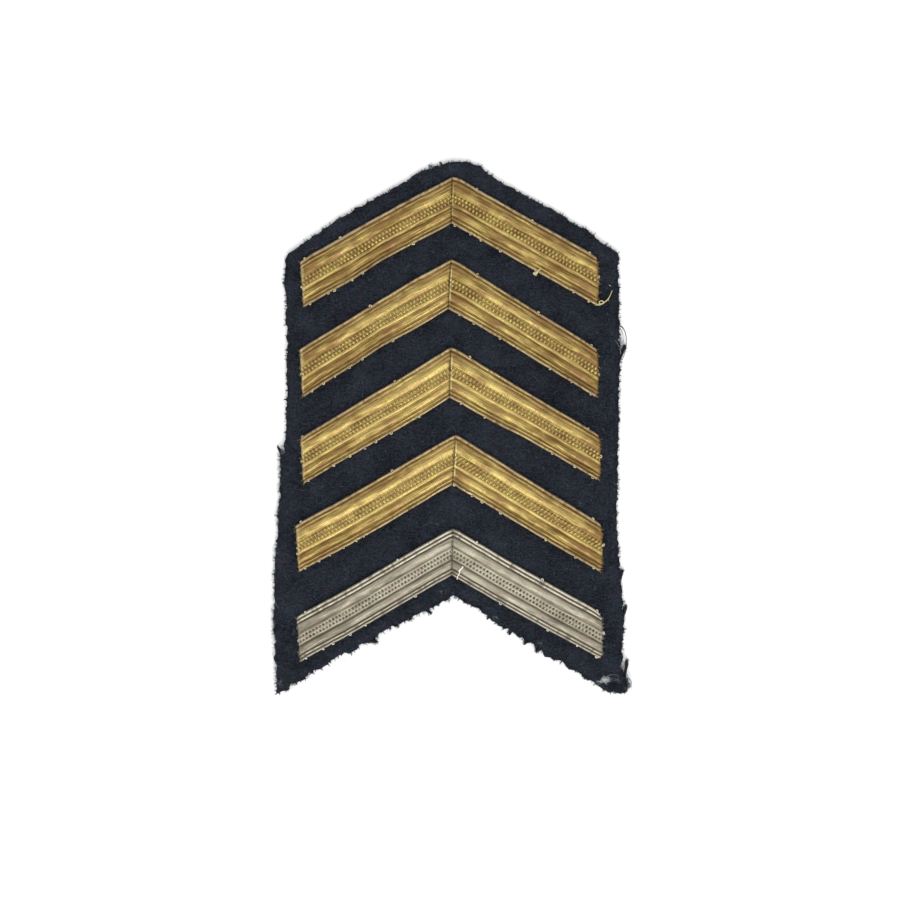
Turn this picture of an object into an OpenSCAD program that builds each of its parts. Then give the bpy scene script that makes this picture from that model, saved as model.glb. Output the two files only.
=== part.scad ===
/* [Backing cloth] */
// Thickness of the felted wool under the lace
cloth_t = 1.5; // [1:0.1:2.5]
// How far the nap stands proud between two chevrons
nap_rise = 0.2; // [0:0.05:0.4]
// Thickness of the cloth at its worn, hand-cut edge
rim_t = 0.7; // [0.3:0.1:0.9]
// How far the pressed bed in the cloth reaches past the lace
bed_margin = 0.15; // [0.1:0.05:0.4]

/* [Metal lace] */
// Width of the lace, a quarter of an inch
lace_w = 6.35; // [5:0.05:7]
// Thickness of the lace over the crown of a satin band
lace_t = 0.9; // [0.6:0.1:1.2]
// Depth of the groove between two bands, as a share of the thickness
groove_depth = 0.26; // [0.1:0.02:0.4]
// Clearance between the lace and the cloth that it is sewn to
sew_gap = 0.05; // [0.03:0.01:0.2]

/* [Wear] */
// Scale of the curls along the cut edge and of the matted corner
curl_scale = 1; // [0:0.1:1.5]

/* [Hidden] */

GOLD = [0.70, 0.55, 0.29];
SILVER = [0.66, 0.62, 0.56];
NAVY = [0.10, 0.11, 0.17];

// Chevrons from the top one down: where the mitre seam stands, the height of its peak, for each arm
// where it ends and how far its upper edge falls on the way, and how much of its width the lace keeps
SEAM_X = 0;
PEAK_Y = 1;
LEFT_X = 2;
LEFT_FALL = 3;
RIGHT_X = 4;
RIGHT_FALL = 5;
KEPT_W = 6;
CHEVRONS = [
    [0.4, 37.8, -22.5, 12.7, 22.4, 12.5, 0.98],
    [0.2, 25.4, -22.6, 13.6, 22.4, 13.8, 0.99],
    [0.2, 12.1, -22.5, 13.7, 22.7, 13.4, 1.00],
    [0.9, -1.1, -23.2, 13.8, 23.0, 13.9, 1.01],
    [0.5, -15.3, -23.0, 13.7, 23.0, 13.2, 0.97],
];

// The cut along the roof and along the notched foot of the cloth, from left to right
CUT_X = 0;
ROOF_Y = 1;
FOOT_Y = 2;
CUTS = [
    [-25.4, 24.9, -40.3],
    [-22.0, 28.0, -38.1],
    [-17.8, 30.7, -35.6],
    [-8.8, 36.0, -30.6],
    [-4.2, 38.5, -28.2],
    [-1.5, 39.7, -26.8],
    [0.4, 40.1, -25.8],
    [3.3, 39.8, -27.2],
    [4.9, 39.0, -28.2],
    [8.0, 36.8, -30.3],
    [10.9, 35.1, -32.1],
    [14.5, 33.1, -34.5],
    [20.0, 29.8, -37.8],
    [23.2, 27.5, -40.0],
    [26.0, 25.4, -40.4],
];

// The two long sides, from the foot up. The left one steps out at a small torn flap.
SIDE_Y = 0;
LEFT_SIDE = 1;
RIGHT_SIDE = 2;
SIDES = [
    [-40.4, -26.3, 27.3],
    [-38.6, -26.3, 26.9],
    [-36.0, -26.4, 26.4],
    [-29.0, -26.7, 26.3],
    [-22.0, -26.5, 25.7],
    [-15.0, -26.2, 25.3],
    [-8.8, -25.7, 25.4],
    [-3.4, -26.0, 25.4],
    [-2.4, -24.9, 25.5],
    [7.0, -24.7, 25.7],
    [13.0, -24.7, 25.7],
    [22.0, -25.1, 25.6],
    [25.6, -24.9, 25.3],
];

// Places where the cut edge curls up off the table or is felted into a lump
CURL_X = 0;
CURL_Y = 1;
REACH = 2;
LIFT = 3;
SWELL = 4;
CURLS = [
    [27.1, -40.4, 5.2, 0.9, 1.3],
    [-26.3, -40.3, 4.4, 0.5, 0.3],
    [-26.0, -3.8, 3.2, 0.5, 0.1],
    [1.2, 40.1, 2.2, 0.4, 0.1],
    [25.3, 25.6, 2.6, 0.4, 0.0],
];

// The woven bands of the lace from its lower edge up: where each ends, and how proud its crown is
BAND_END = 0;
CROWN = 1;
BANDS = [
    [0.07, 0.80],
    [0.15, 0.85],
    [0.335, 1.00],
    [0.43, 0.92],
    [0.52, 0.88],
    [0.615, 0.88],
    [0.81, 1.00],
    [0.90, 0.85],
    [1.00, 0.80],
];

// Height of the lace near a turned-under end and near the mitre, by the distance from it
END_FOLD = [[0, 0.60], [0.3, 0.95], [0.9, 1.12], [3.0, 1.00]];
MITRE_LEFT = [[1.4, 1.00], [0.4, 0.96]];
MITRE_RIGHT = [[0.35, 1.22], [1.4, 1.04]];
MITRE_SEAM = 0.66;
// Height of the lace at its two woven edges
SELVEDGE = 0.45;

// The bed under the lace runs from side to side, just past the longest arms
bed_x = max([for (c = CHEVRONS) max(-c[LEFT_X], c[RIGHT_X])]) + bed_margin;
// Where the strips outside the beds take the height of a row from
strip_x = 26;
// How deep a sheet is drawn below its base before a block, wider than the patch, trims it flat there
trim_depth = 0.2;
block_w = 120;
block_h = 5;
arm_cells = 8;
last_level = 2 * len(CHEVRONS) + 1;

function column(table, key, value) = [for (row = table) [row[key], row[value]]];
function mix(a, b, share) = a + (b - a) * share;

// Fall of an arm's upper edge for each millimetre away from the seam
function slope(c, x) =
    x < c[SEAM_X]
        ? c[LEFT_FALL] / (c[SEAM_X] - c[LEFT_X])
        : c[RIGHT_FALL] / (c[RIGHT_X] - c[SEAM_X]);

function upper_edge(c, x) = c[PEAK_Y] - slope(c, x) * abs(x - c[SEAM_X]);

// Height of the lace measured straight up, which the two arms share at the seam
function upright_w(c, x) =
    let (widths = [for (at = [c[LEFT_X], c[RIGHT_X], x]) c[KEPT_W] * lace_w / cos(atan(slope(c, at)))])
    let (arm = x < c[SEAM_X] ? c[SEAM_X] - c[LEFT_X] : c[RIGHT_X] - c[SEAM_X])
    mix((widths[0] + widths[1]) / 2, widths[2], abs(x - c[SEAM_X]) / arm);

function lower_edge(c, x) = upper_edge(c, x) - upright_w(c, x);

// Level lines across the cloth: the foot, the two sides of each bed from the lowest up, and the roof
function bed_of(level) = CHEVRONS[len(CHEVRONS) - 1 - floor((level - 1) / 2)];
function level_y(level, x) =
    level == 0 ? lookup(x, column(CUTS, CUT_X, FOOT_Y))
    : level == last_level ? lookup(x, column(CUTS, CUT_X, ROOF_Y))
    : level % 2 == 1 ? lower_edge(bed_of(level), x) - bed_margin
    : upper_edge(bed_of(level), x) + bed_margin;
function level_seam(level) =
    level == 0 ? bed_of(1)[SEAM_X]
    : level == last_level ? bed_of(last_level - 1)[SEAM_X]
    : bed_of(level)[SEAM_X];

// Rows of the cloth from the foot up: the level below, the share of the way to the next one, and how
// far the nap stands above or below the bed there
ROW_LEVEL = 0;
ROW_SHARE = 1;
ROW_NAP = 2;
edge_drop = rim_t - cloth_t;
cloth_rows = concat(
    [[0, 0, edge_drop], [0, 0.2, -0.1], [0, 0.6, nap_rise]],
    [for (level = [1 : last_level - 1]) each
        level % 2 == 1 ? [[level, 0, 0], [level, 0.5, 0]]
        : level < last_level - 1
        ? [for (share = [0 : 0.25 : 0.75]) [level, share, nap_rise * sin(180 * share)]]
        : [[level, 0, 0], [level, 0.35, nap_rise], [level, 0.75, -0.1]]],
    [[last_level, 0, edge_drop]]
);

// Columns of the cloth from the left: the side, whether it is in the strip outside the beds, and the
// share of the way out from the seam or from the end of the bed
COL_SIDE = 0;
COL_STRIP = 1;
COL_SHARE = 2;
strip_shares = [0.35, 0.7, 1];
cloth_columns = concat(
    [for (i = [2 : -1 : 0]) [-1, true, strip_shares[i]]],
    [for (i = [arm_cells : -1 : 1]) [-1, false, i / arm_cells]],
    [for (i = [0 : arm_cells]) [1, false, i / arm_cells]],
    [for (i = [0 : 2]) [1, true, strip_shares[i]]]
);
strip_nap = [[0, 0], [0.35, nap_rise], [0.7, -0.1], [1, edge_drop]];

// Where a row and a column of the cloth cross
function cloth_place(row, col) =
    let (level = row[ROW_LEVEL], next = min(level + 1, last_level))
    let (seam = mix(level_seam(level), level_seam(next), row[ROW_SHARE]))
    let (x = col[COL_STRIP]
        ? col[COL_SIDE] * mix(bed_x, strip_x, col[COL_SHARE])
        : mix(seam, col[COL_SIDE] * bed_x, col[COL_SHARE]))
    let (y = mix(level_y(level, x), level_y(next, x), row[ROW_SHARE]))
    let (side = lookup(y, column(SIDES, SIDE_Y, col[COL_SIDE] < 0 ? LEFT_SIDE : RIGHT_SIDE)))
    [col[COL_STRIP] ? mix(col[COL_SIDE] * bed_x, side, col[COL_SHARE]) : x, y];

// The origin is in the middle of the box around the whole cloth
cloth_places = [for (row = cloth_rows) [for (col = cloth_columns) cloth_place(row, col)]];
cloth_xs = [for (row = cloth_places) each [row[0].x, row[len(row) - 1].x]];
cloth_ys = [for (row = [cloth_places[0], cloth_places[len(cloth_places) - 1]]) for (p = row) p.y];
middle = [(max(cloth_xs) + min(cloth_xs)) / 2, (max(cloth_ys) + min(cloth_ys)) / 2];

// The nap at a crossing: the rim along a cut wins over the rise beside it
function cloth_nap(row, col) =
    let (across = col[COL_STRIP] ? lookup(col[COL_SHARE], strip_nap) : row[ROW_NAP])
    min(row[ROW_NAP], across) < 0 ? min(row[ROW_NAP], across) : max(row[ROW_NAP], across);

function curl(place, value) = curl_scale * max([for (c = CURLS)
    let (near = 1 - norm(place - [c[CURL_X], c[CURL_Y]]) / c[REACH])
    near > 0 ? c[value] * pow(near, 1.5) : 0]);

// Height of the lace across its width: a groove at each side of a band and a flat crown between
band_rows = concat(
    [[0, SELVEDGE]],
    [for (i = [0 : len(BANDS) - 1])
        let (from = i == 0 ? 0 : BANDS[i - 1][BAND_END], to = BANDS[i][BAND_END], crown = BANDS[i][CROWN])
        each concat(
            [[mix(from, to, 0.28), crown], [mix(from, to, 0.72), crown]],
            i < len(BANDS) - 1 ? [[to, min(crown, BANDS[i + 1][CROWN]) - groove_depth / 2]] : []
        )],
    [[1, SELVEDGE]]
);

// Stations along a chevron from its left end to its right end
function lace_stations(c) = concat(
    [for (e = END_FOLD) [c[LEFT_X] + e[0], e[1]]],
    [[(c[LEFT_X] + c[SEAM_X]) / 2, 1]],
    [for (m = MITRE_LEFT) [c[SEAM_X] - m[0], m[1]]],
    [[c[SEAM_X], MITRE_SEAM]],
    [for (m = MITRE_RIGHT) [c[SEAM_X] + m[0], m[1]]],
    [[(c[RIGHT_X] + c[SEAM_X]) / 2, 1]],
    [for (i = [len(END_FOLD) - 1 : -1 : 0]) [c[RIGHT_X] - END_FOLD[i][0], END_FOLD[i][1]]]
);

// A closed sheet between an upper and a lower grid, whose rows run up the patch
module closed_sheet(upper, lower) {
    rows = len(upper);
    cols = len(upper[0]);
    function top(i, j) = i * cols + j;
    function under(i, j) = rows * cols + top(i, j);
    polyhedron(
        points = concat([for (row = upper) each row], [for (row = lower) each row]),
        faces = concat(
            [for (i = [0 : rows - 2], j = [0 : cols - 2]) each [
                [top(i, j), top(i + 1, j), top(i + 1, j + 1)],
                [top(i, j), top(i + 1, j + 1), top(i, j + 1)],
                [under(i, j), under(i + 1, j + 1), under(i + 1, j)],
                [under(i, j), under(i, j + 1), under(i + 1, j + 1)]
            ]],
            [for (j = [0 : cols - 2], i = [0, rows - 1])
                let (a = i == 0 ? j : j + 1, b = i == 0 ? j + 1 : j)
                each [
                    [top(i, a), top(i, b), under(i, b)],
                    [top(i, a), under(i, b), under(i, a)]
                ]],
            [for (i = [0 : rows - 2], j = [0, cols - 1])
                let (a = j == 0 ? i + 1 : i, b = j == 0 ? i : i + 1)
                each [
                    [top(a, j), top(b, j), under(b, j)],
                    [top(a, j), under(b, j), under(a, j)]
                ]]
        )
    );
}

// A sheet whose underside is trimmed to one flat face at z = 0, wherever it isn't drawn above that
module flat_backed_sheet(upper, lower) {
    difference() {
        closed_sheet(upper, lower);
        translate([-block_w / 2, -block_w / 2, -block_h])
            cube([block_w, block_w, block_h]);
    }
}

// The hand-cut patch of felted wool, which lies flat but for its curls
module backing_cloth() {
    color(NAVY)
        translate([-middle.x, -middle.y, 0])
            flat_backed_sheet(
                upper = [for (i = [0 : len(cloth_rows) - 1]) [for (j = [0 : len(cloth_columns) - 1])
                    let (p = cloth_places[i][j], nap = cloth_nap(cloth_rows[i], cloth_columns[j]))
                    [p.x, p.y, cloth_t + nap + curl(p, LIFT) + curl(p, SWELL)]]],
                lower = [for (row = cloth_places) [for (p = row) [p.x, p.y, curl(p, LIFT) - trim_depth]]]
            );
}

// One length of lace, folded to a mitre at the seam and turned under at both ends
module lace(c, tint) {
    stations = lace_stations(c);
    places = [for (b = band_rows) [for (s = stations)
        [s[0], lower_edge(c, s[0]) + b[0] * upright_w(c, s[0])]]];
    color(tint)
        translate([-middle.x, -middle.y, cloth_t + sew_gap])
            flat_backed_sheet(
                upper = [for (i = [0 : len(band_rows) - 1]) [for (j = [0 : len(stations) - 1])
                    let (p = places[i][j])
                    [p.x, p.y, lace_t * band_rows[i][1] * stations[j][1]]]],
                lower = [for (row = places) [for (p = row) [p.x, p.y, -trim_depth]]]
            );
}

module gold_lace_1() {
    lace(CHEVRONS[0], GOLD);
}

module gold_lace_2() {
    lace(CHEVRONS[1], GOLD);
}

module gold_lace_3() {
    lace(CHEVRONS[2], GOLD);
}

module gold_lace_4() {
    lace(CHEVRONS[3], GOLD);
}

module silver_lace() {
    lace(CHEVRONS[4], SILVER);
}

backing_cloth();
gold_lace_1();
gold_lace_2();
gold_lace_3();
gold_lace_4();
silver_lace();
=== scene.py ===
"""Dressed model of an overseas service chevron.

Five point-up chevrons of woven metal lace, four gold and one silver, are tacked on a hand-cut patch of
navy wool that lies face up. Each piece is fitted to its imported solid, and lengths are in metres.
"""

from __future__ import annotations

import logging
import math
from dataclasses import dataclass, field
from enum import Enum
from typing import ClassVar, Sequence

import bmesh
import bpy
import numpy as np
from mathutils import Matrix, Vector
from mathutils.bvhtree import BVHTree

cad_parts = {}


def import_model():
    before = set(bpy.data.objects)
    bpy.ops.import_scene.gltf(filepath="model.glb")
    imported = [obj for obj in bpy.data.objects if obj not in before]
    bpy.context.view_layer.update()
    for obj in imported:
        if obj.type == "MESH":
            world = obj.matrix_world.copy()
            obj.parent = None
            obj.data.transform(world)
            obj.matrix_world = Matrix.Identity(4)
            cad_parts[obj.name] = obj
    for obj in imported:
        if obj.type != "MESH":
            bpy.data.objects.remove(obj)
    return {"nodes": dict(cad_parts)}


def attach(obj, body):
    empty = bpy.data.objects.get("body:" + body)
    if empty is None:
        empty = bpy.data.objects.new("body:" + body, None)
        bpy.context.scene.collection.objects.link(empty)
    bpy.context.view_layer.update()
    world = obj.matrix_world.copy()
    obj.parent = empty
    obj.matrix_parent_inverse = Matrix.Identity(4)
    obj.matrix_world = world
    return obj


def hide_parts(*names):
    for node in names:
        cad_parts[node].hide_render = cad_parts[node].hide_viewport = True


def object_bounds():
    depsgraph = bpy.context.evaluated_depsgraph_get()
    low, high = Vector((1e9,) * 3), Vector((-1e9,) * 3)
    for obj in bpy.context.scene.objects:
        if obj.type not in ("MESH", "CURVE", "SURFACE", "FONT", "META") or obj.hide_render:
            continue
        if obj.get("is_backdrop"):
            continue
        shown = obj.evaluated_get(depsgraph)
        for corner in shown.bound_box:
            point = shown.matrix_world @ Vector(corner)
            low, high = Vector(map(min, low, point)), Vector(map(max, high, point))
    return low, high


MM = 0.001
BODY = "root"
TABLE_GAP = 0.03 * MM
Array = np.ndarray
Socket = bpy.types.NodeSocket
Mesh = bpy.types.Mesh
Piece = bpy.types.Object
Material = bpy.types.Material
Nodes = dict[str, Piece]
Pair = tuple[float, float]
Point = tuple[float, float, float]
Colour = Point
Box = tuple[Vector, Vector]
Steps = tuple[Pair, ...]
Places = tuple[Point, ...]
log = logging.getLogger("service_chevron")


class Slot(Enum):
    """Material slots of the record."""

    NAVY_WOOL = "navy_wool"
    GOLD_LACE = "gold_lace"
    SILVER_LACE = "silver_lace"
    PALE_THREAD = "pale_thread"


class BandKind(Enum):
    """What the warp does in one band of the lace."""

    SELVEDGE = "round pale matte cord"
    CORD = "round bright cord"
    SATIN = "wide domed band of flat wire"
    BASKET = "row of raised knots with pits between them"
    LATTICE = "flat bars pierced by rows of round holes"


@dataclass
class Mottle:
    """Smooth seeded noise over the plan, from -1 to 1.

    Attributes:
        cell: Size of one patch of the noise.
        seed: Seed of its values.
        side: How many values it has each way before it repeats.
    """

    cell: float
    seed: int
    side: ClassVar[int] = 512

    def __post_init__(self) -> None:
        """Draws the lattice of values."""
        self.values = np.random.default_rng(self.seed).uniform(-1, 1, (self.side, self.side))

    def at(self, x: Array, y: Array | float = 0.0) -> Array:
        """Reads the noise.

        Args:
            x: Places across the plan.
            y: Places up the plan.

        Returns:
            The noise at each place.
        """
        u, v = np.broadcast_arrays(np.asarray(x) / self.cell, np.asarray(y) / self.cell)
        i, j = np.floor(u).astype(int), np.floor(v).astype(int)
        fu, fv = u - i, v - j
        fu, fv = fu * fu * (3 - 2 * fu), fv * fv * (3 - 2 * fv)
        i0, i1, j0, j1 = i % self.side, (i + 1) % self.side, j % self.side, (j + 1) % self.side
        low = self.values[i0, j0] * (1 - fu) + self.values[i1, j0] * fu
        high = self.values[i0, j1] * (1 - fu) + self.values[i1, j1] * fu
        return low * (1 - fv) + high * fv


def bell(away: Array, reach: float) -> Array:
    """Returns 1 at no distance away, falling smoothly to nothing past the reach."""
    return np.exp(-((away / reach) ** 2))


def follow(way: Array, stations: Array, route: Array, period: float | None = None) -> Array:
    """Returns the places of a route at ways along it, given the way to each of its points."""
    return np.stack([np.interp(way, stations, line, period=period) for line in route.T], axis=-1)


def read_steps(value: Array, steps: Steps) -> Array:
    """Returns what a table gives for a value, read straight between its rows."""
    return np.interp(value, *np.array(steps).T)


class Graph:
    """A short way to wire the nodes of one material."""

    def __init__(self, name: str) -> None:
        """Starts a material.

        Args:
            name: Name of the material.
        """
        self.material = bpy.data.materials.new(name)
        self.material.use_nodes = True
        self.tree = self.material.node_tree
        self.shader = self.tree.nodes["Principled BSDF"]

    def fill(self, socket: Socket, value: object) -> None:
        """Links a socket to another one, or sets its value.

        Args:
            socket: The input to fill.
            value: An output socket, a number or a tuple.
        """
        if isinstance(value, Socket):
            self.tree.links.new(value, socket)
        else:
            socket.default_value = value

    def add(self, kind: str, inputs: dict[str | int, object], **settings: object) -> bpy.types.Node:
        """Adds a node.

        Args:
            kind: Blender's name for the node.
            inputs: What each of its inputs takes.
            **settings: Properties of the node.

        Returns:
            The node.
        """
        node = self.tree.nodes.new(kind)
        for name, value in settings.items():
            setattr(node, name, value)
        for key, value in inputs.items():
            self.fill(node.inputs[key], value)
        return node

    def attribute(self, name: str) -> Socket:
        """Returns a value that the mesh carries."""
        return self.add("ShaderNodeAttribute", {}, attribute_name=name).outputs["Fac"]

    def place(self, stretch: Point, uv: str = "") -> Socket:
        """Gives stretched coordinates.

        Args:
            stretch: Scale along each axis.
            uv: Name of the UV map to read, or nothing for Object coordinates.

        Returns:
            The coordinates.
        """
        if uv:
            source = self.add("ShaderNodeUVMap", {}, uv_map=uv).outputs["UV"]
        else:
            source = self.add("ShaderNodeTexCoord", {}).outputs["Object"]
        return self.add("ShaderNodeMapping", {"Vector": source, "Scale": stretch}).outputs["Vector"]

    def noise(self, vector: Socket, detail: float = 2, roughness: float = 0.5) -> Socket:
        """Returns noise of one patch for each unit of the coordinates."""
        inputs = {"Vector": vector, "Scale": 1, "Detail": detail, "Roughness": roughness}
        return self.add("ShaderNodeTexNoise", inputs).outputs["Fac"]

    def ramp(self, value: Socket, stops: Sequence[tuple[float, Colour]]) -> Socket:
        """Turns a value into a colour.

        Args:
            value: What the ramp reads.
            stops: Position and colour of each stop.

        Returns:
            The colour.
        """
        node = self.add("ShaderNodeValToRGB", {0: value})
        points = node.color_ramp.elements
        while len(points) < len(stops):
            points.new(0.5)
        for point, (position, colour) in zip(points, stops):
            point.position = position
            point.color = (*colour, 1)
        return node.outputs["Color"]

    def mix(self, share: object, first: object, second: object, how: str = "MIX") -> Socket:
        """Mixes two colours.

        Args:
            share: How much of the second one.
            first: The first colour.
            second: The second colour.
            how: Blend type.

        Returns:
            The mixed colour.
        """
        node = self.add("ShaderNodeMix", {}, data_type="RGBA", blend_type=how)
        for key, value in (("Factor", share), ("A", first), ("B", second)):
            socket = next(s for s in node.inputs if s.name == key and s.enabled)
            self.fill(socket, (*value, 1) if isinstance(value, tuple) else value)
        return next(s for s in node.outputs if s.enabled)

    def math(self, how: str, first: object, second: object = 0.0) -> Socket:
        """Returns first and second combined, kept from 0 to 1."""
        inputs = {0: first, 1: second}
        return self.add("ShaderNodeMath", inputs, operation=how, use_clamp=True).outputs[0]

    def spread(self, value: Socket, low: float, high: float) -> Socket:
        """Returns a value from 0 to 1 spread from low to high."""
        inputs = {"Value": value, "To Min": low, "To Max": high}
        return self.add("ShaderNodeMapRange", inputs).outputs["Result"]

    def bump(self, height: Socket, distance: float, below: Socket | None = None) -> Socket:
        """Returns a normal bumped by a height, over another bumped one if that is given."""
        inputs = {"Height": height, "Distance": distance, "Strength": 1.0}
        return self.add("ShaderNodeBump", inputs | ({"Normal": below} if below else {})).outputs["Normal"]

    def finish(self, **sockets: object) -> Material:
        """Fills the shader.

        Args:
            **sockets: The shader's inputs, with underscores for spaces.

        Returns:
            The material.
        """
        for name, value in sockets.items():
            key = name.replace("_", " ")
            self.fill(self.shader.inputs[key], (*value, 1) if isinstance(value, tuple) else value)
        return self.material


@dataclass(frozen=True)
class FeltFinish:
    """Napped navy wool, felted so that its weave hardly shows.

    Attributes:
        shade: Colour deep between the fibres.
        light: Colour of the fibres on top.
        heather: What the dye is multiplied by where the wool is heathered.
        rough: Roughness.
        sheen: Weight of the sheen.
        sheen_tint: Colour of the sheen.
        broad: Patches to the metre of its slow change of tone, along each axis.
        fine: The same for its grain.
        hairs: The same for the fibres.
        heathered: The same for the heather.
        pile: Depth of the grain.
        waves: Depth of the slow change.
    """

    shade: Colour = (0.0018, 0.0035, 0.0062)
    light: Colour = (0.0249, 0.0366, 0.0490)
    heather: Colour = (1.4, 0.87, 1.02)
    rough: float = 0.97
    sheen: float = 0.02
    sheen_tint: Colour = (0.55, 0.62, 0.8)
    broad: Point = (300, 300, 300)
    fine: Point = (3600, 3600, 3600)
    hairs: Point = (900, 6500, 3000)
    heathered: Point = (1100, 1100, 1100)
    pile: float = 0.45 * MM
    waves: float = 0.5 * MM

    def material(self) -> Material:
        """Wires the cloth's material.

        Returns:
            The material.
        """
        g = Graph("navy_felt")
        broad = g.noise(g.place(self.broad), 3)
        fine = g.noise(g.place(self.fine), 4, 0.75)
        hairs = g.noise(g.place(self.hairs), 3, 0.6)
        tone = g.mix(0.2, g.mix(0.3, fine, hairs), broad)
        dyed = g.ramp(tone, ((0.415, self.shade), (0.603, self.light)))
        heather = g.spread(g.noise(g.place(self.heathered), 2, 0.6), -1.6, 2.4)
        colour = g.mix(heather, dyed, g.mix(1.0, dyed, self.heather, "MULTIPLY"))
        pile = g.bump(g.mix(0.3, fine, hairs), self.pile)
        return g.finish(
            Base_Color=colour,
            Roughness=self.rough,
            Sheen_Weight=self.sheen,
            Sheen_Tint=self.sheen_tint,
            Specular_IOR_Level=0.15,
            Normal=g.bump(broad, self.waves, pile),
        )


@dataclass(frozen=True)
class LaceFinish:
    """Woven metal wire, bright on its crowns by polish and painted highlight, tarnished beside them, and dark
    in its grooves by grime and painted shade.

    Attributes:
        name: Name of the material.
        bright: Colour of polished wire, also where a highlight is painted.
        dull: Colour of tarnished wire, also taken where the painted light falls off.
        blush: Colour that the stains bring in.
        cord: Colour of the pale cord.
        fold: Colour of the mitre's fold, worn and with a painted highlight.
        grime_and_shade: Colour of the dirt, and of the painted shade in grooves and creases.
        metallic: How metallic the wire is.
        rough_bright: Roughness of polished wire.
        rough_dull: Roughness of tarnished wire.
        wires: Patches to the metre of the single wires, along the lace and across it.
        patches: The same for its uneven polish.
        specks: The same for the specks of dirt.
        brushed: The same for its scratches.
        stained: The same for its stains.
        wire_depth: Depth of the bump between two wires.
        speck_depth: Depth of a speck.
        scratch_depth: Depth of a scratch.
    """

    name: str
    bright: Colour
    dull: Colour
    blush: Colour
    cord: Colour
    fold: Colour
    grime_and_shade: Colour
    metallic: float
    rough_bright: float
    rough_dull: float
    wires: Point = (5000, 250, 1)
    patches: Point = (220, 500, 1)
    specks: Point = (3200, 3200, 1)
    brushed: Point = (260, 5200, 1)
    stained: Point = (330, 700, 1)
    wire_depth: float = 0.05 * MM
    speck_depth: float = 0.03 * MM
    scratch_depth: float = 0.06 * MM

    def material(self) -> Material:
        """Wires the lace's material.

        Returns:
            The material.
        """
        g = Graph(self.name)
        wires = g.noise(g.place(self.wires, "weave"), 2, 0.6)
        patches = g.noise(g.place(self.patches, "weave"), 3, 0.6)
        speckle = g.noise(g.place(self.specks, "weave"), 2, 0.5)
        brushed = g.noise(g.place(self.brushed, "weave"), 3, 0.65)
        # The polish attribute is polish with painted highlights on the crowns and painted light along each
        # arm; it mixes dull into bright wire.
        polished_and_lit = g.math("ADD", g.attribute("polish_and_highlight"), g.spread(patches, -1.1, 1.1))
        worn = g.math("ADD", polished_and_lit, g.spread(brushed, -1.8, 1.8))
        stains = g.noise(g.place(self.stained, "weave"), 2, 0.5)
        metal = g.mix(worn, self.dull, self.bright)
        metal = g.mix(g.spread(stains, -1.5, 2.1), metal, g.mix(0.55, metal, self.blush))
        metal = g.mix(g.spread(wires, 0.0, 0.5), metal, g.mix(0.45, metal, self.dull, "MULTIPLY"))
        metal = g.mix(g.attribute("cord"), metal, self.cord)
        metal = g.mix(g.attribute("fold"), metal, self.fold)
        # Dirt with painted shade in the weave's low places, the folds' creases and the crevice by the mitre.
        dirt_and_shade = g.math("ADD", g.attribute("grime_and_shade"), g.spread(speckle, -0.15, 0.15))
        colour = g.mix(dirt_and_shade, metal, self.grime_and_shade)
        rough = g.spread(worn, self.rough_dull, self.rough_bright)
        rubbed = g.bump(speckle, self.speck_depth, g.bump(wires, self.wire_depth))
        return g.finish(
            Base_Color=colour,
            Metallic=self.metallic,
            Roughness=rough,
            Normal=g.bump(brushed, self.scratch_depth, rubbed),
        )


@dataclass(frozen=True)
class StrandFinish:
    """Wool fibre, sewing thread or loose wire, coloured by the tint that each strand carries.

    Attributes:
        name: Name of the material.
        stops: Colours of strands at tints from 0 to 1.
        rough: Roughness.
        sheen: Weight of the sheen.
        metallic: How metallic the strands are.
        gloss: How much they mirror.
        shade: What their colour is multiplied by in the dark of the twist.
        twisted: Patches to the metre of the twist, along each axis.
    """

    name: str
    stops: tuple[tuple[float, Colour], ...]
    rough: float = 0.85
    sheen: float = 0.05
    metallic: float = 0.0
    gloss: float = 0.5
    shade: Colour = (0.55, 0.55, 0.55)
    twisted: Point = (9000, 9000, 9000)

    def material(self) -> Material:
        """Wires the strands' material.

        Returns:
            The material.
        """
        g = Graph(self.name)
        twist = g.noise(g.place(self.twisted), 2)
        colour = g.ramp(g.attribute("tint"), self.stops)
        dark = g.mix(1.0, colour, self.shade, "MULTIPLY")
        shaded = g.mix(g.spread(twist, 0.0, 0.5), colour, dark)
        return g.finish(
            Base_Color=shaded,
            Roughness=self.rough,
            Metallic=self.metallic,
            Sheen_Weight=self.sheen,
            Specular_IOR_Level=self.gloss,
        )


FELT = FeltFinish()
GOLD = LaceFinish(
    name="gold_wire",
    bright=(0.530, 0.412, 0.138),
    dull=(0.202, 0.126, 0.035),
    blush=(0.250, 0.125, 0.060),
    cord=(0.370, 0.287, 0.180),
    fold=(0.95, 0.82, 0.48),
    grime_and_shade=(0.075, 0.038, 0.010),
    metallic=0.84,
    rough_bright=0.34,
    rough_dull=0.55,
)
SILVER = LaceFinish(
    name="silver_wire",
    bright=(0.41, 0.383, 0.290),
    dull=(0.185, 0.170, 0.126),
    blush=(0.26, 0.200, 0.150),
    cord=(0.56, 0.52, 0.415),
    fold=(0.42, 0.38, 0.29),
    grime_and_shade=(0.060, 0.044, 0.028),
    metallic=0.7,
    rough_bright=0.42,
    rough_dull=0.58,
)
WOOL_FIBRE = StrandFinish(
    name="wool_fibre",
    stops=(
        (0.0, (0.0030, 0.0046, 0.0080)), (0.45, (0.030, 0.038, 0.052)), (0.75, (0.24, 0.26, 0.28)),
        (1.0, (0.72, 0.73, 0.73)),
    ),
    gloss=0.15,
)
SEWING_THREAD = StrandFinish(
    name="sewing_thread",
    stops=(
        (0.0, (0.60, 0.52, 0.24)), (0.4, (0.64, 0.55, 0.34)), (0.7, (0.56, 0.44, 0.32)),
        (1.0, (0.82, 0.79, 0.70)),
    ),
    rough=0.7,
)
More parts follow.
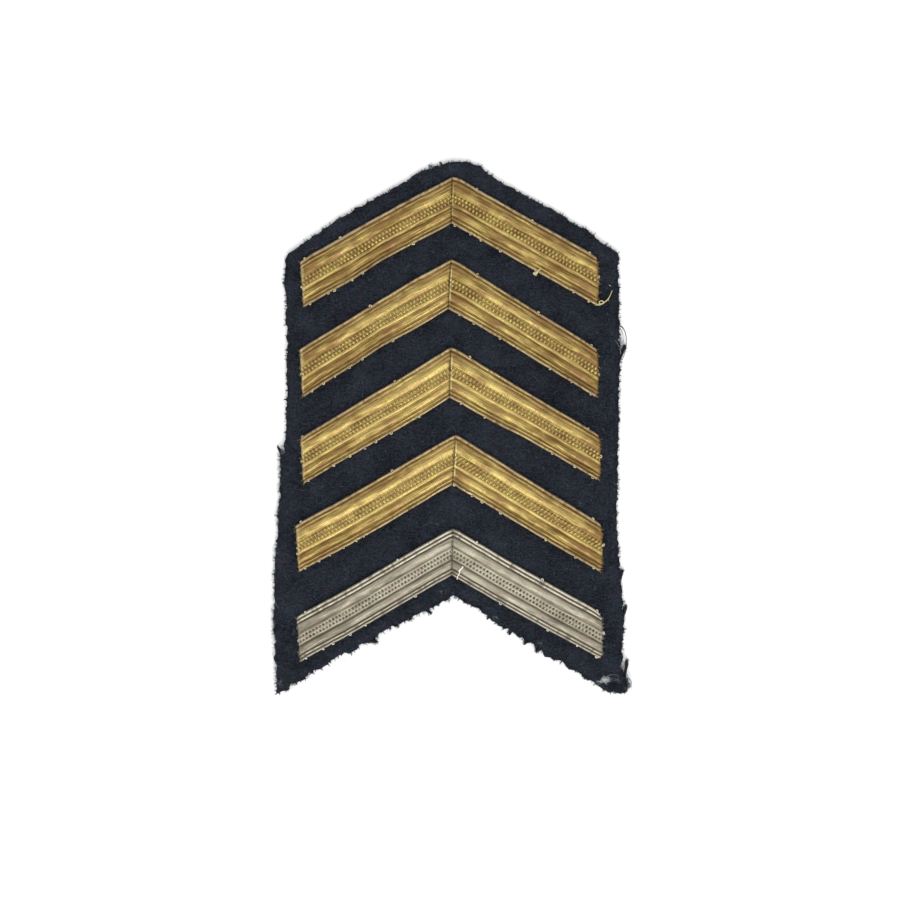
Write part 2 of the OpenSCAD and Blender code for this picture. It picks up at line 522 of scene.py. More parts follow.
LOOSE_WIRE = StrandFinish(
    name="loose_wire",
    stops=(
        (0.0, (0.30, 0.19, 0.07)), (0.5, (0.52, 0.40, 0.17)), (0.6, (0.38, 0.34, 0.27)),
        (1.0, (0.60, 0.56, 0.47)),
    ),
    rough=0.45,
    sheen=0.0,
    metallic=0.6,
)


def settle(bm: bmesh.types.BMesh, name: str) -> Mesh:
    """Turns a bmesh into a mesh and frees it.

    Args:
        bm: The bmesh.
        name: Name of the mesh.

    Returns:
        The mesh.
    """
    mesh = bpy.data.meshes.new(name)
    bm.to_mesh(mesh)
    bm.free()
    return mesh


def stand(name: str, data: bpy.types.ID) -> Piece:
    """Puts an object in the scene.

    Args:
        name: Name of the object.
        data: The mesh, light or camera that it shows.

    Returns:
        The object.
    """
    piece = bpy.data.objects.new(name, data)
    bpy.context.scene.collection.objects.link(piece)
    return piece


def read_out(mesh: Mesh) -> Array:
    """Reads the places of a mesh's vertices.

    Args:
        mesh: The mesh.

    Returns:
        One row for each vertex.
    """
    places = np.zeros(len(mesh.vertices) * 3)
    mesh.vertices.foreach_get("co", places)
    return places.reshape(-1, 3)


def carry(mesh: Mesh, name: str, values: Array) -> None:
    """Gives each vertex of a mesh a value.

    Args:
        mesh: The mesh.
        name: Name of the attribute.
        values: One value for each vertex.
    """
    attribute = mesh.attributes.new(name, "FLOAT", "POINT")
    attribute.data.foreach_set("value", np.ascontiguousarray(values, np.float32))


def unroll(mesh: Mesh, name: str, flat: Array) -> None:
    """Gives a mesh a UV map.

    Args:
        mesh: The mesh.
        name: Name of the map.
        flat: Place of each vertex on the flat goods.
    """
    corners = np.zeros(len(mesh.loops), int)
    mesh.loops.foreach_get("vertex_index", corners)
    mesh.uv_layers.new(name=name).data.foreach_set("uv", flat[corners].ravel())


def dress(mesh: Mesh, material: Material) -> Piece:
    """Makes a piece of a mesh.

    Args:
        mesh: The mesh, whose name the piece takes.
        material: Its material.

    Returns:
        The piece, riding on the one body.
    """
    mesh.materials.append(material)
    mesh.shade_smooth()
    piece = stand(mesh.name, mesh)
    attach(piece, BODY)
    mesh.calc_loop_triangles()
    log.info("%s: %d triangles", piece.name, len(mesh.loop_triangles))
    return piece


def slab(name: str, columns: int, rows: int, cuts: int) -> Mesh:
    """Models a square slab one unit deep, whose top is cut finer than its underside.

    Args:
        name: Name of the mesh.
        columns: Cells across the underside.
        rows: Cells up the underside.
        cuts: How often each edge of the top is cut.

    Returns:
        The mesh, from -1 to 1 each way, with its top at 1 and its underside at 0.
    """
    bm = bmesh.new()
    bmesh.ops.create_grid(bm, x_segments=columns, y_segments=rows, size=1)
    grown = bmesh.ops.extrude_face_region(bm, geom=bm.faces[:], use_keep_orig=True)
    raised = [g for g in grown["geom"] if isinstance(g, bmesh.types.BMVert)]
    bmesh.ops.translate(bm, verts=raised, vec=(0, 0, 1))
    bmesh.ops.recalc_face_normals(bm, faces=bm.faces[:])
    top = [e for e in bm.edges if min(v.co.z for v in e.verts) > 0.5]
    bmesh.ops.subdivide_edges(bm, edges=top, cuts=cuts, use_grid_fill=True)
    return settle(bm, name)


def rod(sides: int, rings: int) -> tuple[Array, list[list[int]]]:
    """Models a closed rod along Z, one unit between its rings.

    Args:
        sides: Sides of the rod.
        rings: Rings along it.

    Returns:
        Its points and its faces.
    """
    bm = bmesh.new()
    bmesh.ops.create_circle(bm, cap_ends=True, segments=sides, radius=1)
    for ring in range(1, rings):
        tip = [f for f in bm.faces if min(v.co.z for v in f.verts) > ring - 1.5]
        grown = bmesh.ops.extrude_face_region(bm, geom=tip, use_keep_orig=True)
        moved = [g for g in grown["geom"] if isinstance(g, bmesh.types.BMVert)]
        bmesh.ops.translate(bm, verts=moved, vec=(0, 0, 1))
        if ring > 1:
            bmesh.ops.delete(bm, geom=tip, context="FACES_ONLY")
    bmesh.ops.recalc_face_normals(bm, faces=bm.faces[:])
    bm.verts.ensure_lookup_table()
    bm.verts.index_update()
    points = np.array([v.co for v in bm.verts])
    faces = [[v.index for v in f.verts] for f in bm.faces]
    bm.free()
    return points, faces


@dataclass
class Strands:
    """Many thin strands that are joined in one mesh.

    Attributes:
        name: Name of the mesh.
        sides: Sides of each strand.
        taper: Thickness of a strand's tip, as a share of its root.
        batches: Paths, radii and tints of the strands that are laid.
    """

    name: str
    sides: int
    taper: float
    batches: list[tuple[Array, Array, Array]] = field(default_factory=list)

    def lay(self, paths: Array, radii: Array | float, tints: Array | float) -> None:
        """Adds strands of one length in rings.

        Args:
            paths: Strand, ring and coordinate.
            radii: Radius of each strand.
            tints: Tint of each strand.
        """
        count = len(paths)
        paths[..., 2] = np.maximum(paths[..., 2], TABLE_GAP)
        self.batches.append((paths, np.broadcast_to(radii, count), np.broadcast_to(tints, count)))

    def sweep(self, paths: Array, radii: Array) -> tuple[Array, list[list[int]]]:
        """Bends a copy of the rod along each path.

        Args:
            paths: Strand, ring and coordinate.
            radii: Radius of each strand.

        Returns:
            The points of all copies and their faces.
        """
        count, rings = paths.shape[:2]
        points, faces = rod(self.sides, rings)
        tangent = np.gradient(paths, axis=1)
        tangent /= np.linalg.norm(tangent, axis=2, keepdims=True) + 1e-12
        whole = paths[:, -1] - paths[:, 0]
        steep = np.abs(whole[:, 2]) > 0.7 * np.linalg.norm(whole, axis=1)
        guide = np.where(steep[:, None], (1.0, 0.13, 0.0), (0.07, 0.03, 1.0))[:, None, :]
        sideways = np.cross(tangent, guide)
        sideways /= np.linalg.norm(sideways, axis=2, keepdims=True) + 1e-12
        upwards = np.cross(tangent, sideways)
        ring = np.rint(points[:, 2]).astype(int)
        width = radii[:, None] * (1 - (1 - self.taper) * ring[None, :] / (rings - 1))
        offset = points[None, :, 0, None] * sideways[:, ring] + points[None, :, 1, None] * upwards[:, ring]
        placed = paths[:, ring] + offset * width[:, :, None]
        first = np.arange(count) * len(points)
        made: list[list[int]] = []
        for size in sorted({len(f) for f in faces}):
            pattern = np.array([f for f in faces if len(f) == size])
            made.extend((first[:, None, None] + pattern[None]).reshape(-1, size).tolist())
        return placed.reshape(-1, 3), made

    def mesh(self) -> Mesh:
        """Joins all the strands.

        Returns:
            One mesh, with the strands' tints.
        """
        points, faces, tints, start = [], [], [], 0
        for paths, radii, tint in self.batches:
            placed, made = self.sweep(paths, radii)
            points.append(placed)
            faces.extend([index + start for index in face] for face in made)
            tints.append(np.repeat(tint, len(placed) // len(paths)))
            start += len(placed)
        mesh = bpy.data.meshes.new(self.name)
        mesh.from_pydata(np.concatenate(points).tolist(), [], faces)
        carry(mesh, "tint", np.concatenate(tints))
        return mesh


class PackedSolid:
    """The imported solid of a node, read for its plan and its heights.

    Attributes:
        steep: Upright part of its normal that a wall stays under.
        probe: How far over and under the table a reading starts.
        rim: Height of the rim that a reading from above falls back on.
        soften: Distance between the readings that make one height.
        cross: Where those readings are taken.
    """

    steep: ClassVar[float] = 0.02
    probe: ClassVar[float] = 20 * MM
    rim: ClassVar[float] = 2 * MM
    soften: ClassVar[float] = 0.45 * MM
    cross: ClassVar[Steps] = ((0, 0), (1, 0), (-1, 0), (0, 1), (0, -1))

    def __init__(self, node: Piece) -> None:
        """Reads a node.

        Args:
            node: The node's object in the frame.
        """
        mesh = node.data
        self.points = read_out(mesh)
        faces = [tuple(p.vertices) for p in mesh.polygons]
        self.walls = sorted({i for p in mesh.polygons if abs(p.normal.z) < self.steep for i in p.vertices})
        self.tree = BVHTree.FromPolygons(self.points.tolist(), faces)

    def meet(self, x: float, y: float, down: bool) -> float:
        """Finds where an upright line first meets the solid, or the rim nearest to it.

        Args:
            x: Place across the plan.
            y: Place up the plan.
            down: Whether the line is followed down, and not up.

        Returns:
            The height there.
        """
        start = Vector((x, y, self.probe if down else -self.probe))
        place = self.tree.ray_cast(start, Vector((0, 0, -1 if down else 1)))[0]
        if place is None:
            place = self.tree.find_nearest(Vector((x, y, self.rim if down else 0)))[0]
        return place.z

    def heights(self, x: Array, y: Array, down: bool = True) -> Array:
        """Reads softened heights.

        Args:
            x: Places across the plan.
            y: Places up the plan.
            down: Whether the top is read, and not the underside.

        Returns:
            The mean height over a small cross at each place.
        """
        total = np.zeros(len(x))
        for dx, dy in self.cross:
            xs, ys = x + dx * self.soften, y + dy * self.soften
            total += [self.meet(a, b, down) for a, b in zip(xs.tolist(), ys.tolist())]
        return total / len(self.cross)


@dataclass(frozen=True)
class CutShift:
    """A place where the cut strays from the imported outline.

    Attributes:
        place: The place in plan, in millimetres.
        reach: How far round it the shift is felt.
        shift: How far the cut strays there.
    """

    place: Pair
    reach: float
    shift: Pair


CUT_SHIFTS = (
    CutShift((27.0, -40.25), 0.9, (-0.35, 0.3)),
    CutShift((26.6, -36.2), 1.2, (-0.7, 0.0)),
    CutShift((25.6, 10.9), 0.8, (0.35, 0.0)),
    CutShift((24.4, 26.4), 1.5, (0.35, 0.35)),
    CutShift((25.2, 25.6), 0.8, (0.2, 0.35)),
    CutShift((20.9, 29.6), 2.0, (0.2, 0.3)),
    CutShift((-12.7, -32.6), 0.7, (0.0, -0.5)),
    CutShift((-5.8, -28.4), 0.7, (0.0, -0.4)),
    CutShift((17.8, -36.4), 0.7, (0.0, -0.55)),
    CutShift((15.3, 33.0), 3.5, (0.15, 0.3)),
    CutShift((-9.8, 36.0), 2.0, (0.1, -0.35)),
    CutShift((-4.3, 39.0), 0.7, (-0.2, 0.12)),
    CutShift((4.2, 39.6), 1.2, (0.1, 0.35)),
    CutShift((-24.6, 26.0), 0.9, (-0.45, 0.35)),
    CutShift((-25.2, 19.2), 1.0, (0.4, 0.0)),
    CutShift((-26.3, -3.2), 0.9, (0.75, -0.5)),
    CutShift((-26.4, -5.2), 1.4, (0.4, 0.0)),
    CutShift((-18.4, -35.7), 1.5, (0.0, -0.35)),
    CutShift((1.1, -26.0), 0.9, (0.0, 0.55)),
    CutShift((25.9, -33.8), 1.6, (-0.35, 0.0)),
)


class CutEdge:
    """The hand-cut outline of the cloth, walked anticlockwise from its left.

    Attributes:
        raggedness: Cell and size in millimetres of each noise that makes the cut ragged.
    """

    raggedness: ClassVar[Steps] = ((0.45, 0.16), (1.3, 0.14), (5, 0.06))

    def __init__(self, solid: PackedSolid) -> None:
        """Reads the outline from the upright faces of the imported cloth.

        Args:
            solid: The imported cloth.
        """
        plan = np.unique(np.round(solid.points[solid.walls, :2], 5), axis=0)
        self.loop = plan[np.argsort(np.arctan2(plan[:, 1], plan[:, 0]))]
        self.closed = np.concatenate([self.loop, self.loop[:1]])
        step = np.roll(self.loop, -1, axis=0) - self.loop
        self.lengths = np.linalg.norm(step, axis=1)
        self.along = step / self.lengths[:, None]
        self.starts = np.concatenate([[0], np.cumsum(self.lengths)])
        noises = enumerate(self.raggedness, 11)
        self.ragged = [(Mottle(cell * MM, seed), size * MM) for seed, (cell, size) in noises]

    def stray(self, plan: Array) -> Array:
        """Moves places to where the cut strays.

        Args:
            plan: Plan places.

        Returns:
            The moved places.
        """
        moved = plan.copy()
        for spot in CUT_SHIFTS:
            away = np.linalg.norm(plan - np.array(spot.place) * MM, axis=-1)
            moved += bell(away, spot.reach * MM)[..., None] * np.array(spot.shift) * MM
        return moved

    @property
    def total(self) -> float:
        """Returns the length of the whole cut."""
        return float(self.starts[-1])

    def corner(self, across: float, up: float) -> int:
        """Returns the point that lies farthest in a direction."""
        return int(np.argmax(self.loop @ np.array((across, up))))

    def chain(self, first: int, last: int) -> Array:
        """Returns the points from one corner to another, anticlockwise."""
        count = (last - first) % len(self.loop) + 1
        return self.loop[(first + np.arange(count)) % len(self.loop)]

    @staticmethod
    def walk(chain: Array, share: Array, axis: int) -> Array:
        """Walks one side of the cut.

        Args:
            chain: The side's points.
            share: Shares of the way from its first point to its last one.
            axis: Coordinate that the way is measured along.

        Returns:
            The plan places.
        """
        reach = chain[0, axis] + share * (chain[-1, axis] - chain[0, axis])
        order = np.argsort(chain[:, axis])
        return follow(reach, chain[order, axis], chain[order])

    def nearest(self, x: Array, y: Array) -> tuple[Array, Array, Array]:
        """Finds the nearest place on the cut.

        Args:
            x: Places across the plan.
            y: Places up the plan.

        Returns:
            The way along the cut, the distance from it, and the outward direction there.
        """
        places = np.stack([x, y], axis=-1)
        share = np.einsum("nmk,mk->nm", places[:, None] - self.loop[None], self.along)
        share = np.clip(share, 0, self.lengths[None])
        foot = self.loop[None] + share[..., None] * self.along[None]
        gap = np.linalg.norm(places[:, None] - foot, axis=2)
        best = gap.argmin(axis=1)
        rows = np.arange(len(places))
        way = self.starts[best] + share[rows, best]
        return way, gap[rows, best], self.outward(way)

    def outward(self, way: Array) -> Array:
        """Works out the direction out of the cloth, turned smoothly at the corners.

        Args:
            way: Ways along the cut.

        Returns:
            The direction at each of them.
        """
        middles = self.starts[:-1] + self.lengths / 2
        outs = np.stack([self.along[:, 1], -self.along[:, 0]], axis=1)
        found = follow(way, middles, outs, self.total)
        return found / np.linalg.norm(found, axis=-1, keepdims=True)

    def fray(self, way: Array) -> Array:
        """Returns how far the ragged cut stands out at ways along it, most of all along the foot."""
        worn = 1 + np.clip(-self.outward(way)[..., 1] * 2, 0, 1)
        return worn * sum(size * noise.at(way, 0.37 * MM) for noise, size in self.ragged)

    def foot(self, way: Array) -> Array:
        """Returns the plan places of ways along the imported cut."""
        return follow(way % self.total, self.starts, self.closed)

    def at(self, way: Array) -> Array:
        """Returns the plan places of ways along the ragged cut."""
        return self.stray(self.foot(way) + self.outward(way) * self.fray(way)[..., None])


@dataclass
class BackingCloth:
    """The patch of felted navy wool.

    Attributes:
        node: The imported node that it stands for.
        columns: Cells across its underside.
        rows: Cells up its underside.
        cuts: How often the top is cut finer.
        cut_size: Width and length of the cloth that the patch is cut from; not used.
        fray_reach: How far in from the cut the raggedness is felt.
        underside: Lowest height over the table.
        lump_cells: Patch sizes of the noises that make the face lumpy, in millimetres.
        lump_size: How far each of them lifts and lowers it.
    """

    node: str = "backing_cloth"
    columns: int = 72
    rows: int = 104
    cuts: int = 2
    cut_size: Pair = (54 * MM, 80.5 * MM)
    fray_reach: float = 0.8 * MM
    underside: float = 0.02 * MM
    lump_cells: tuple[float, ...] = (0.5, 1.1, 4)
    lump_size: float = 0.05 * MM

    def read(self, nodes: Nodes) -> None:
        """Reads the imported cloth.

        Args:
            nodes: The frame's nodes.
        """
        self.solid = PackedSolid(nodes[self.node])
        self.edge = CutEdge(self.solid)
        self.lumps = [Mottle(cell * MM, seed) for seed, cell in enumerate(self.lump_cells, 1)]

    def plan(self, s: Array, t: Array) -> Array:
        """Spreads a square over the plan between the four sides of the cut.

        Args:
            s: Share of the way from the left side to the right one.
            t: Share of the way from the foot to the roof.

        Returns:
            The plan places.
        """
        edge = self.edge
        foot_left, foot_right = edge.corner(-1, -1), edge.corner(1, -1)
        roof_right, roof_left = edge.corner(2, 1), edge.corner(-2, 1)
        foot = edge.chain(foot_left, foot_right)
        right = edge.chain(foot_right, roof_right)
        roof = edge.chain(roof_right, roof_left)[::-1]
        left = edge.chain(roof_left, foot_left)[::-1]
        s2, t2 = s[:, None], t[:, None]
        ruled = (1 - t2) * edge.walk(foot, s, 0) + t2 * edge.walk(roof, s, 0)
        ruled += (1 - s2) * edge.walk(left, t, 1) + s2 * edge.walk(right, t, 1)
        low = (1 - s2) * foot[0] + s2 * foot[-1]
        high = (1 - s2) * roof[0] + s2 * roof[-1]
        return ruled - (1 - t2) * low - t2 * high

    def top(self, x: Array, y: Array) -> Array:
        """Returns the height of the napped face at plan places."""
        return self.solid.heights(x, y) + sum(self.lump_size * noise.at(x, y) for noise in self.lumps)

    def build(self) -> Piece:
        """Makes the cloth.

        Returns:
            The piece.
        """
        mesh = slab("napped_cloth", self.columns, self.rows, self.cuts)
        places = read_out(mesh)
        upper = places[:, 2] > 0.5
        plan = self.plan((places[:, 0] + 1) / 2, (places[:, 1] + 1) / 2)
        x, y = plan[:, 0], plan[:, 1]
        height = np.zeros(len(x))
        height[upper] = self.top(x[upper], y[upper])
        height[~upper] = self.solid.heights(x[~upper], y[~upper], down=False)
        way, gap, out = self.edge.nearest(x, y)
        shift = self.edge.fray(way) * bell(gap, self.fray_reach)
        plan = self.edge.stray(plan + out * shift[:, None])
        placed = np.column_stack([plan, np.maximum(height, self.underside)])
        mesh.vertices.foreach_set("co", placed.ravel())
        mesh.update()
        piece = dress(mesh, FELT.material())
        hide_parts(self.node)
        return piece


@dataclass(frozen=True)
class Band:
    """One band of the lace.

    Attributes:
        centre: Where its middle lies, as a share of the width from the upper edge.
        width: Its share of the width.
        crown: Height of its crown above the lace's back.
        kind: What the warp does in it.
        polish_and_highlight: How much brighter its crown is than the lace round it, by polish and a painted
            highlight.
    """

    centre: float
    width: float
    crown: float
    kind: BandKind
    polish_and_highlight: float = 0.0


@dataclass(frozen=True)
class Weave:
    """How one kind of lace is woven.

    Attributes:
        bands: The bands from the upper edge down.
        ground: Heights that the bands rise from, at shares of the width from the upper edge.
        pitch: Distance between two knots or holes of a row.
        dome: How far a satin band falls from its crown to its sides.
        bead: Length of a knot, as a share of the pitch.
        pit: Depth of a hole.
        holes: Rows of holes through the lattice, as shares of the width.
        hole_size: Half width of a hole along the arm, and across it as a share of the width.
        roll: Share of a flat band's half width over which its side rises.
        loose: How far one knot or hole differs from the next.
        uneven: The noise that they differ by.
    """

    bands: tuple[Band, ...]
    ground: Steps
    pitch: float = 0.60 * MM
    dome: float = 0.19 * MM
    bead: float = 0.8
    pit: float = 0.33 * MM
    holes: tuple[float, ...] = ()
    hole_size: Pair = (0.12 * MM, 0.024)
    roll: float = 0.14
    loose: float = 0.2
    uneven: ClassVar[Mottle] = Mottle(1.0, 7)

    def relief(self, along: Array, across: Array, lean: Array) -> tuple[Array, Array, Array]:
        """Works out the weave's heights.

        Args:
            along: Distance along the arm from the mitre.
            across: Share of the width from the upper edge.
            lean: How far a knot leans along the arm from its middle to its side.

        Returns:
            Heights above the lace's back, how far each place belongs to a selvedge, and how much
            brighter it is, by polish and a painted highlight on its crowns.
        """
        shares, heights = np.array(self.ground).T
        ground = np.interp(across, shares, heights)
        rise = ground.copy()
        cord, polish_and_highlight = np.zeros(along.shape), np.zeros(along.shape)
        rows = 0
        for band in self.bands:
            side = (across - band.centre) / (band.width / 2)
            inside = np.abs(side) < 1
            height = self.band_height(band, ground, side, along + lean * side, rows)
            crown = np.clip((height - ground) / (band.crown - ground), 0, 1)
            rise = np.where(inside, height, rise)
            # Painted highlight with polish, growing towards each band's crown.
            polish_and_highlight = np.where(inside, band.polish_and_highlight * crown**2, polish_and_highlight)
            cord = np.where(inside & (band.kind is BandKind.SELVEDGE), 1.0, cord)
            rows += band.kind is BandKind.BASKET
        return rise - self.pierce(along, across), cord, polish_and_highlight

    def band_height(self, band: Band, ground: Array, side: Array, along: Array, rows: int) -> Array:
        """Works out the heights of one band.

        Args:
            band: The band.
            ground: Heights that it rises from.
            side: How far below its middle, as a share of its half width.
            along: Distance along the arm.
            rows: Basket rows above it.

        Returns:
            The heights.
        """
        out = np.abs(side)
        over = band.crown - ground
        shoulder = np.clip((1 - out) / self.roll, 0, 1) ** 0.5
        if band.kind is BandKind.SATIN:
            return ground + (over - self.dome * out**2) * shoulder
        if band.kind is BandKind.LATTICE:
            return ground + over * shoulder
        if band.kind is BandKind.BASKET:
            knot = along / self.pitch + rows / 2
            over = over * (1 + self.loose * self.uneven.at(np.floor(knot), rows))
            turn = 2 * (knot % 1 - 0.5) / self.bead
            return ground + over * np.sqrt(np.clip(1 - out**2 - turn**2, 0, None))
        power = 3.5 if band.kind is BandKind.SELVEDGE else 2
        return ground + over * np.clip(1 - out**power, 0, None) ** (1 / power)

    def pierce(self, along: Array, across: Array) -> Array:
        """Works out the depth of the round holes through the lattice.

        Args:
            along: Distance along the arm.
            across: Share of the width from the upper edge.

        Returns:
            The depth at each place.
        """
        depth = np.zeros(along.shape)
        for row, centre in enumerate(self.holes):
            hole = along / self.pitch + row / 2
            beside = (hole % 1 - 0.5) * self.pitch / self.hole_size[0]
            away = beside**2 + ((across - centre) / self.hole_size[1]) ** 2
            size = 1 + self.loose * self.uneven.at(np.floor(hole), row + 4)
            depth += self.pit * size * np.exp(-(away**1.5))
        return depth


GOLD_WEAVE = Weave(
    bands=(
        Band(0.040, 0.070, 0.76 * MM, BandKind.SELVEDGE),
        Band(0.128, 0.058, 0.78 * MM, BandKind.CORD),
        Band(0.279, 0.206, 0.90 * MM, BandKind.SATIN),
        Band(0.432, 0.096, 0.88 * MM, BandKind.BASKET, 2.2),
        Band(0.522, 0.094, 0.88 * MM, BandKind.BASKET, 2.2),
        Band(0.608, 0.104, 0.90 * MM, BandKind.CORD, 0.4),
        Band(0.752, 0.174, 0.885 * MM, BandKind.SATIN),
        Band(0.884, 0.054, 0.77 * MM, BandKind.CORD, 0.1),
        Band(0.965, 0.056, 0.71 * MM, BandKind.SELVEDGE),
    ),
    ground=(
        (0.00, 0.56 * MM), (0.09, 0.575 * MM), (0.16, 0.65 * MM), (0.36, 0.66 * MM), (0.385, 0.61 * MM),
        (0.56, 0.61 * MM), (0.57, 0.70 * MM), (0.64, 0.70 * MM), (0.66, 0.58 * MM), (0.86, 0.57 * MM),
        (1.00, 0.53 * MM),
    ),
)
SILVER_WEAVE = Weave(
    bands=(
        Band(0.041, 0.068, 0.80 * MM, BandKind.SELVEDGE),
        Band(0.131, 0.054, 0.86 * MM, BandKind.SELVEDGE, 0.4),
        Band(0.276, 0.190, 0.90 * MM, BandKind.SATIN),
        Band(0.512, 0.262, 0.85 * MM, BandKind.LATTICE, 0.15),
        Band(0.754, 0.174, 0.90 * MM, BandKind.SATIN, 0.1),
        Band(0.885, 0.048, 0.82 * MM, BandKind.SELVEDGE),
        Band(0.962, 0.048, 0.73 * MM, BandKind.SELVEDGE, -0.35),
    ),
    ground=((0.0, 0.53 * MM), (0.16, 0.55 * MM), (0.37, 0.62 * MM), (0.65, 0.57 * MM), (1.0, 0.53 * MM)),
    pitch=0.575 * MM,
    dome=0.155 * MM,
    holes=(0.466, 0.560),
)


@dataclass(frozen=True)
class Tacks:
    """Where the lace is tacked down.

    Attributes:
        upper: Places across the patch of the tacks on the upper edge, in millimetres.
        lower: The same for the lower edge.
        left_end: Shares of the width, from the upper edge, of the tacks on the left end.
        right_end: The same for the right end.
        tint: Tint of the thread.
    """

    upper: tuple[float, ...]
    lower: tuple[float, ...]
    left_end: tuple[float, ...]
    right_end: tuple[float, ...]
    tint: float = 0.25


@dataclass
class LaceChevron:
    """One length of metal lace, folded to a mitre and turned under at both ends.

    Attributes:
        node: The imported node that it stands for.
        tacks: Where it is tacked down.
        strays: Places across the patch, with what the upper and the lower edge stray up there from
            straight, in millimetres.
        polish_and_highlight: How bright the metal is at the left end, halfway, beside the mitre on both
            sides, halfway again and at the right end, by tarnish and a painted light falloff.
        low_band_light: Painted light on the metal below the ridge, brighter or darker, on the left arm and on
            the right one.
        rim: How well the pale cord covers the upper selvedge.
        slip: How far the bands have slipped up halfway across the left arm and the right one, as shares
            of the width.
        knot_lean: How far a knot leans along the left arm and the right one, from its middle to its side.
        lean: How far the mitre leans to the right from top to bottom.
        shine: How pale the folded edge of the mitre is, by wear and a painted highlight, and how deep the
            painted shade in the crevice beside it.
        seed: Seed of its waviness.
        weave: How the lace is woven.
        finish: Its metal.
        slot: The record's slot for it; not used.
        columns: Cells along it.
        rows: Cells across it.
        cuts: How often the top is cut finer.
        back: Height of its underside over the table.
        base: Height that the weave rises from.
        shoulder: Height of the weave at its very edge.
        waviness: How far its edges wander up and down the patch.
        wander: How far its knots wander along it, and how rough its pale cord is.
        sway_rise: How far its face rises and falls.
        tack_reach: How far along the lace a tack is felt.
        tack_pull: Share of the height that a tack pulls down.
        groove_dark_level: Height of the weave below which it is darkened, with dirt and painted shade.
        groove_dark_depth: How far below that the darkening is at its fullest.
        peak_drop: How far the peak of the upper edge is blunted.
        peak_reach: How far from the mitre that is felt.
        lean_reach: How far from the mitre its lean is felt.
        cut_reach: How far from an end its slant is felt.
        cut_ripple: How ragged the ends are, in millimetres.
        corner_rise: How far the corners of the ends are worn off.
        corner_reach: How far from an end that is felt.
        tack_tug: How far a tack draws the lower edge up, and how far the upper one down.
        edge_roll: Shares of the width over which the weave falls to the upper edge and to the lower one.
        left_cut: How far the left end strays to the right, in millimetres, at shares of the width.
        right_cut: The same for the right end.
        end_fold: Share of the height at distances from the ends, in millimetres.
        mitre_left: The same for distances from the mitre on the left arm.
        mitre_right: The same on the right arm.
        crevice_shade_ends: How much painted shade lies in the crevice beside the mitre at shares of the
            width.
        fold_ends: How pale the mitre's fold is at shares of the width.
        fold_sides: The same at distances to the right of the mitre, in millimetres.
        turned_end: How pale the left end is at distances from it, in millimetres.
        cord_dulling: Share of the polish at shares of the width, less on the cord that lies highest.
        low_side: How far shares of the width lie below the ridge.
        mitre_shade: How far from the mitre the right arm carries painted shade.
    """

    node: str
    tacks: Tacks
    strays: Places
    polish_and_highlight: tuple[float, ...]
    lean: float
    shine: float
    seed: int
    low_band_light: Pair = (0.0, 0.0)
    rim: float = 0.75
    slip: Pair = (0.0, 0.0)
    knot_lean: Pair = (-0.04 * MM, 0.0)
    weave: Weave = GOLD_WEAVE
    finish: LaceFinish = GOLD
    slot: Slot = Slot.GOLD_LACE
    columns: int = 96
    rows: int = 16
    cuts: int = 4
    back: float = 1.50 * MM
    base: float = 1.55 * MM
    shoulder: float = 0.24 * MM
    waviness: ClassVar[float] = 0.03 * MM
    wander: ClassVar[float] = 0.05 * MM
    sway_rise: ClassVar[float] = 0.035 * MM
    tack_reach: ClassVar[float] = 0.4 * MM
    tack_pull: ClassVar[float] = 0.18
    groove_dark_level: ClassVar[float] = 0.67 * MM
    groove_dark_depth: ClassVar[float] = 0.16 * MM
    peak_drop: ClassVar[float] = 0.14 * MM
    peak_reach: ClassVar[float] = 0.45 * MM
    lean_reach: ClassVar[float] = 5 * MM
    cut_reach: ClassVar[float] = 0.8 * MM
    cut_ripple: ClassVar[float] = 0.07
    corner_rise: ClassVar[float] = 0.3 * MM
    corner_reach: ClassVar[float] = 0.35 * MM
    tack_tug: ClassVar[Pair] = (0.08 * MM, 0.07 * MM)
    edge_roll: ClassVar[Pair] = (0.03, 0.012)
    left_cut: ClassVar[Steps] = ((0, -0.2), (0.15, -0.1), (0.45, 0.05), (0.85, 0.2), (1, 0.45))
    right_cut: ClassVar[Steps] = ((0, -0.35), (0.12, 0), (0.4, 0.1), (0.88, 0.05), (1, -0.3))
    end_fold: ClassVar[Steps] = ((0, 0.42), (0.1, 0.72), (0.3, 0.96), (0.9, 1.1), (3, 1))
    mitre_left: ClassVar[Steps] = ((0, 0.5), (0.06, 0.62), (0.16, 0.94), (0.5, 1))
    mitre_right: ClassVar[Steps] = ((0, 0.7), (0.07, 1.1), (0.2, 1.12), (0.6, 1.06), (1.6, 1))
    crevice_shade_ends: ClassVar[Steps] = ((0.2, 0), (0.32, 1), (0.5, 1), (0.66, 0))
    fold_ends: ClassVar[Steps] = ((0.12, 0), (0.22, 1), (0.78, 1), (0.9, 0.1))
    fold_sides: ClassVar[Steps] = ((0.02, 0), (0.07, 1), (0.14, 1), (0.22, 0))
    turned_end: ClassVar[Steps] = ((0.05, 0.3), (0.3, 0.25), (0.5, 0))
    cord_dulling: ClassVar[Steps] = ((0.08, 1), (0.09, 0.45), (0.155, 0.45), (0.2, 1))
    low_side: ClassVar[Steps] = ((0.6, 0), (0.7, 1))
    mitre_shade: ClassVar[float] = 1.5 * MM

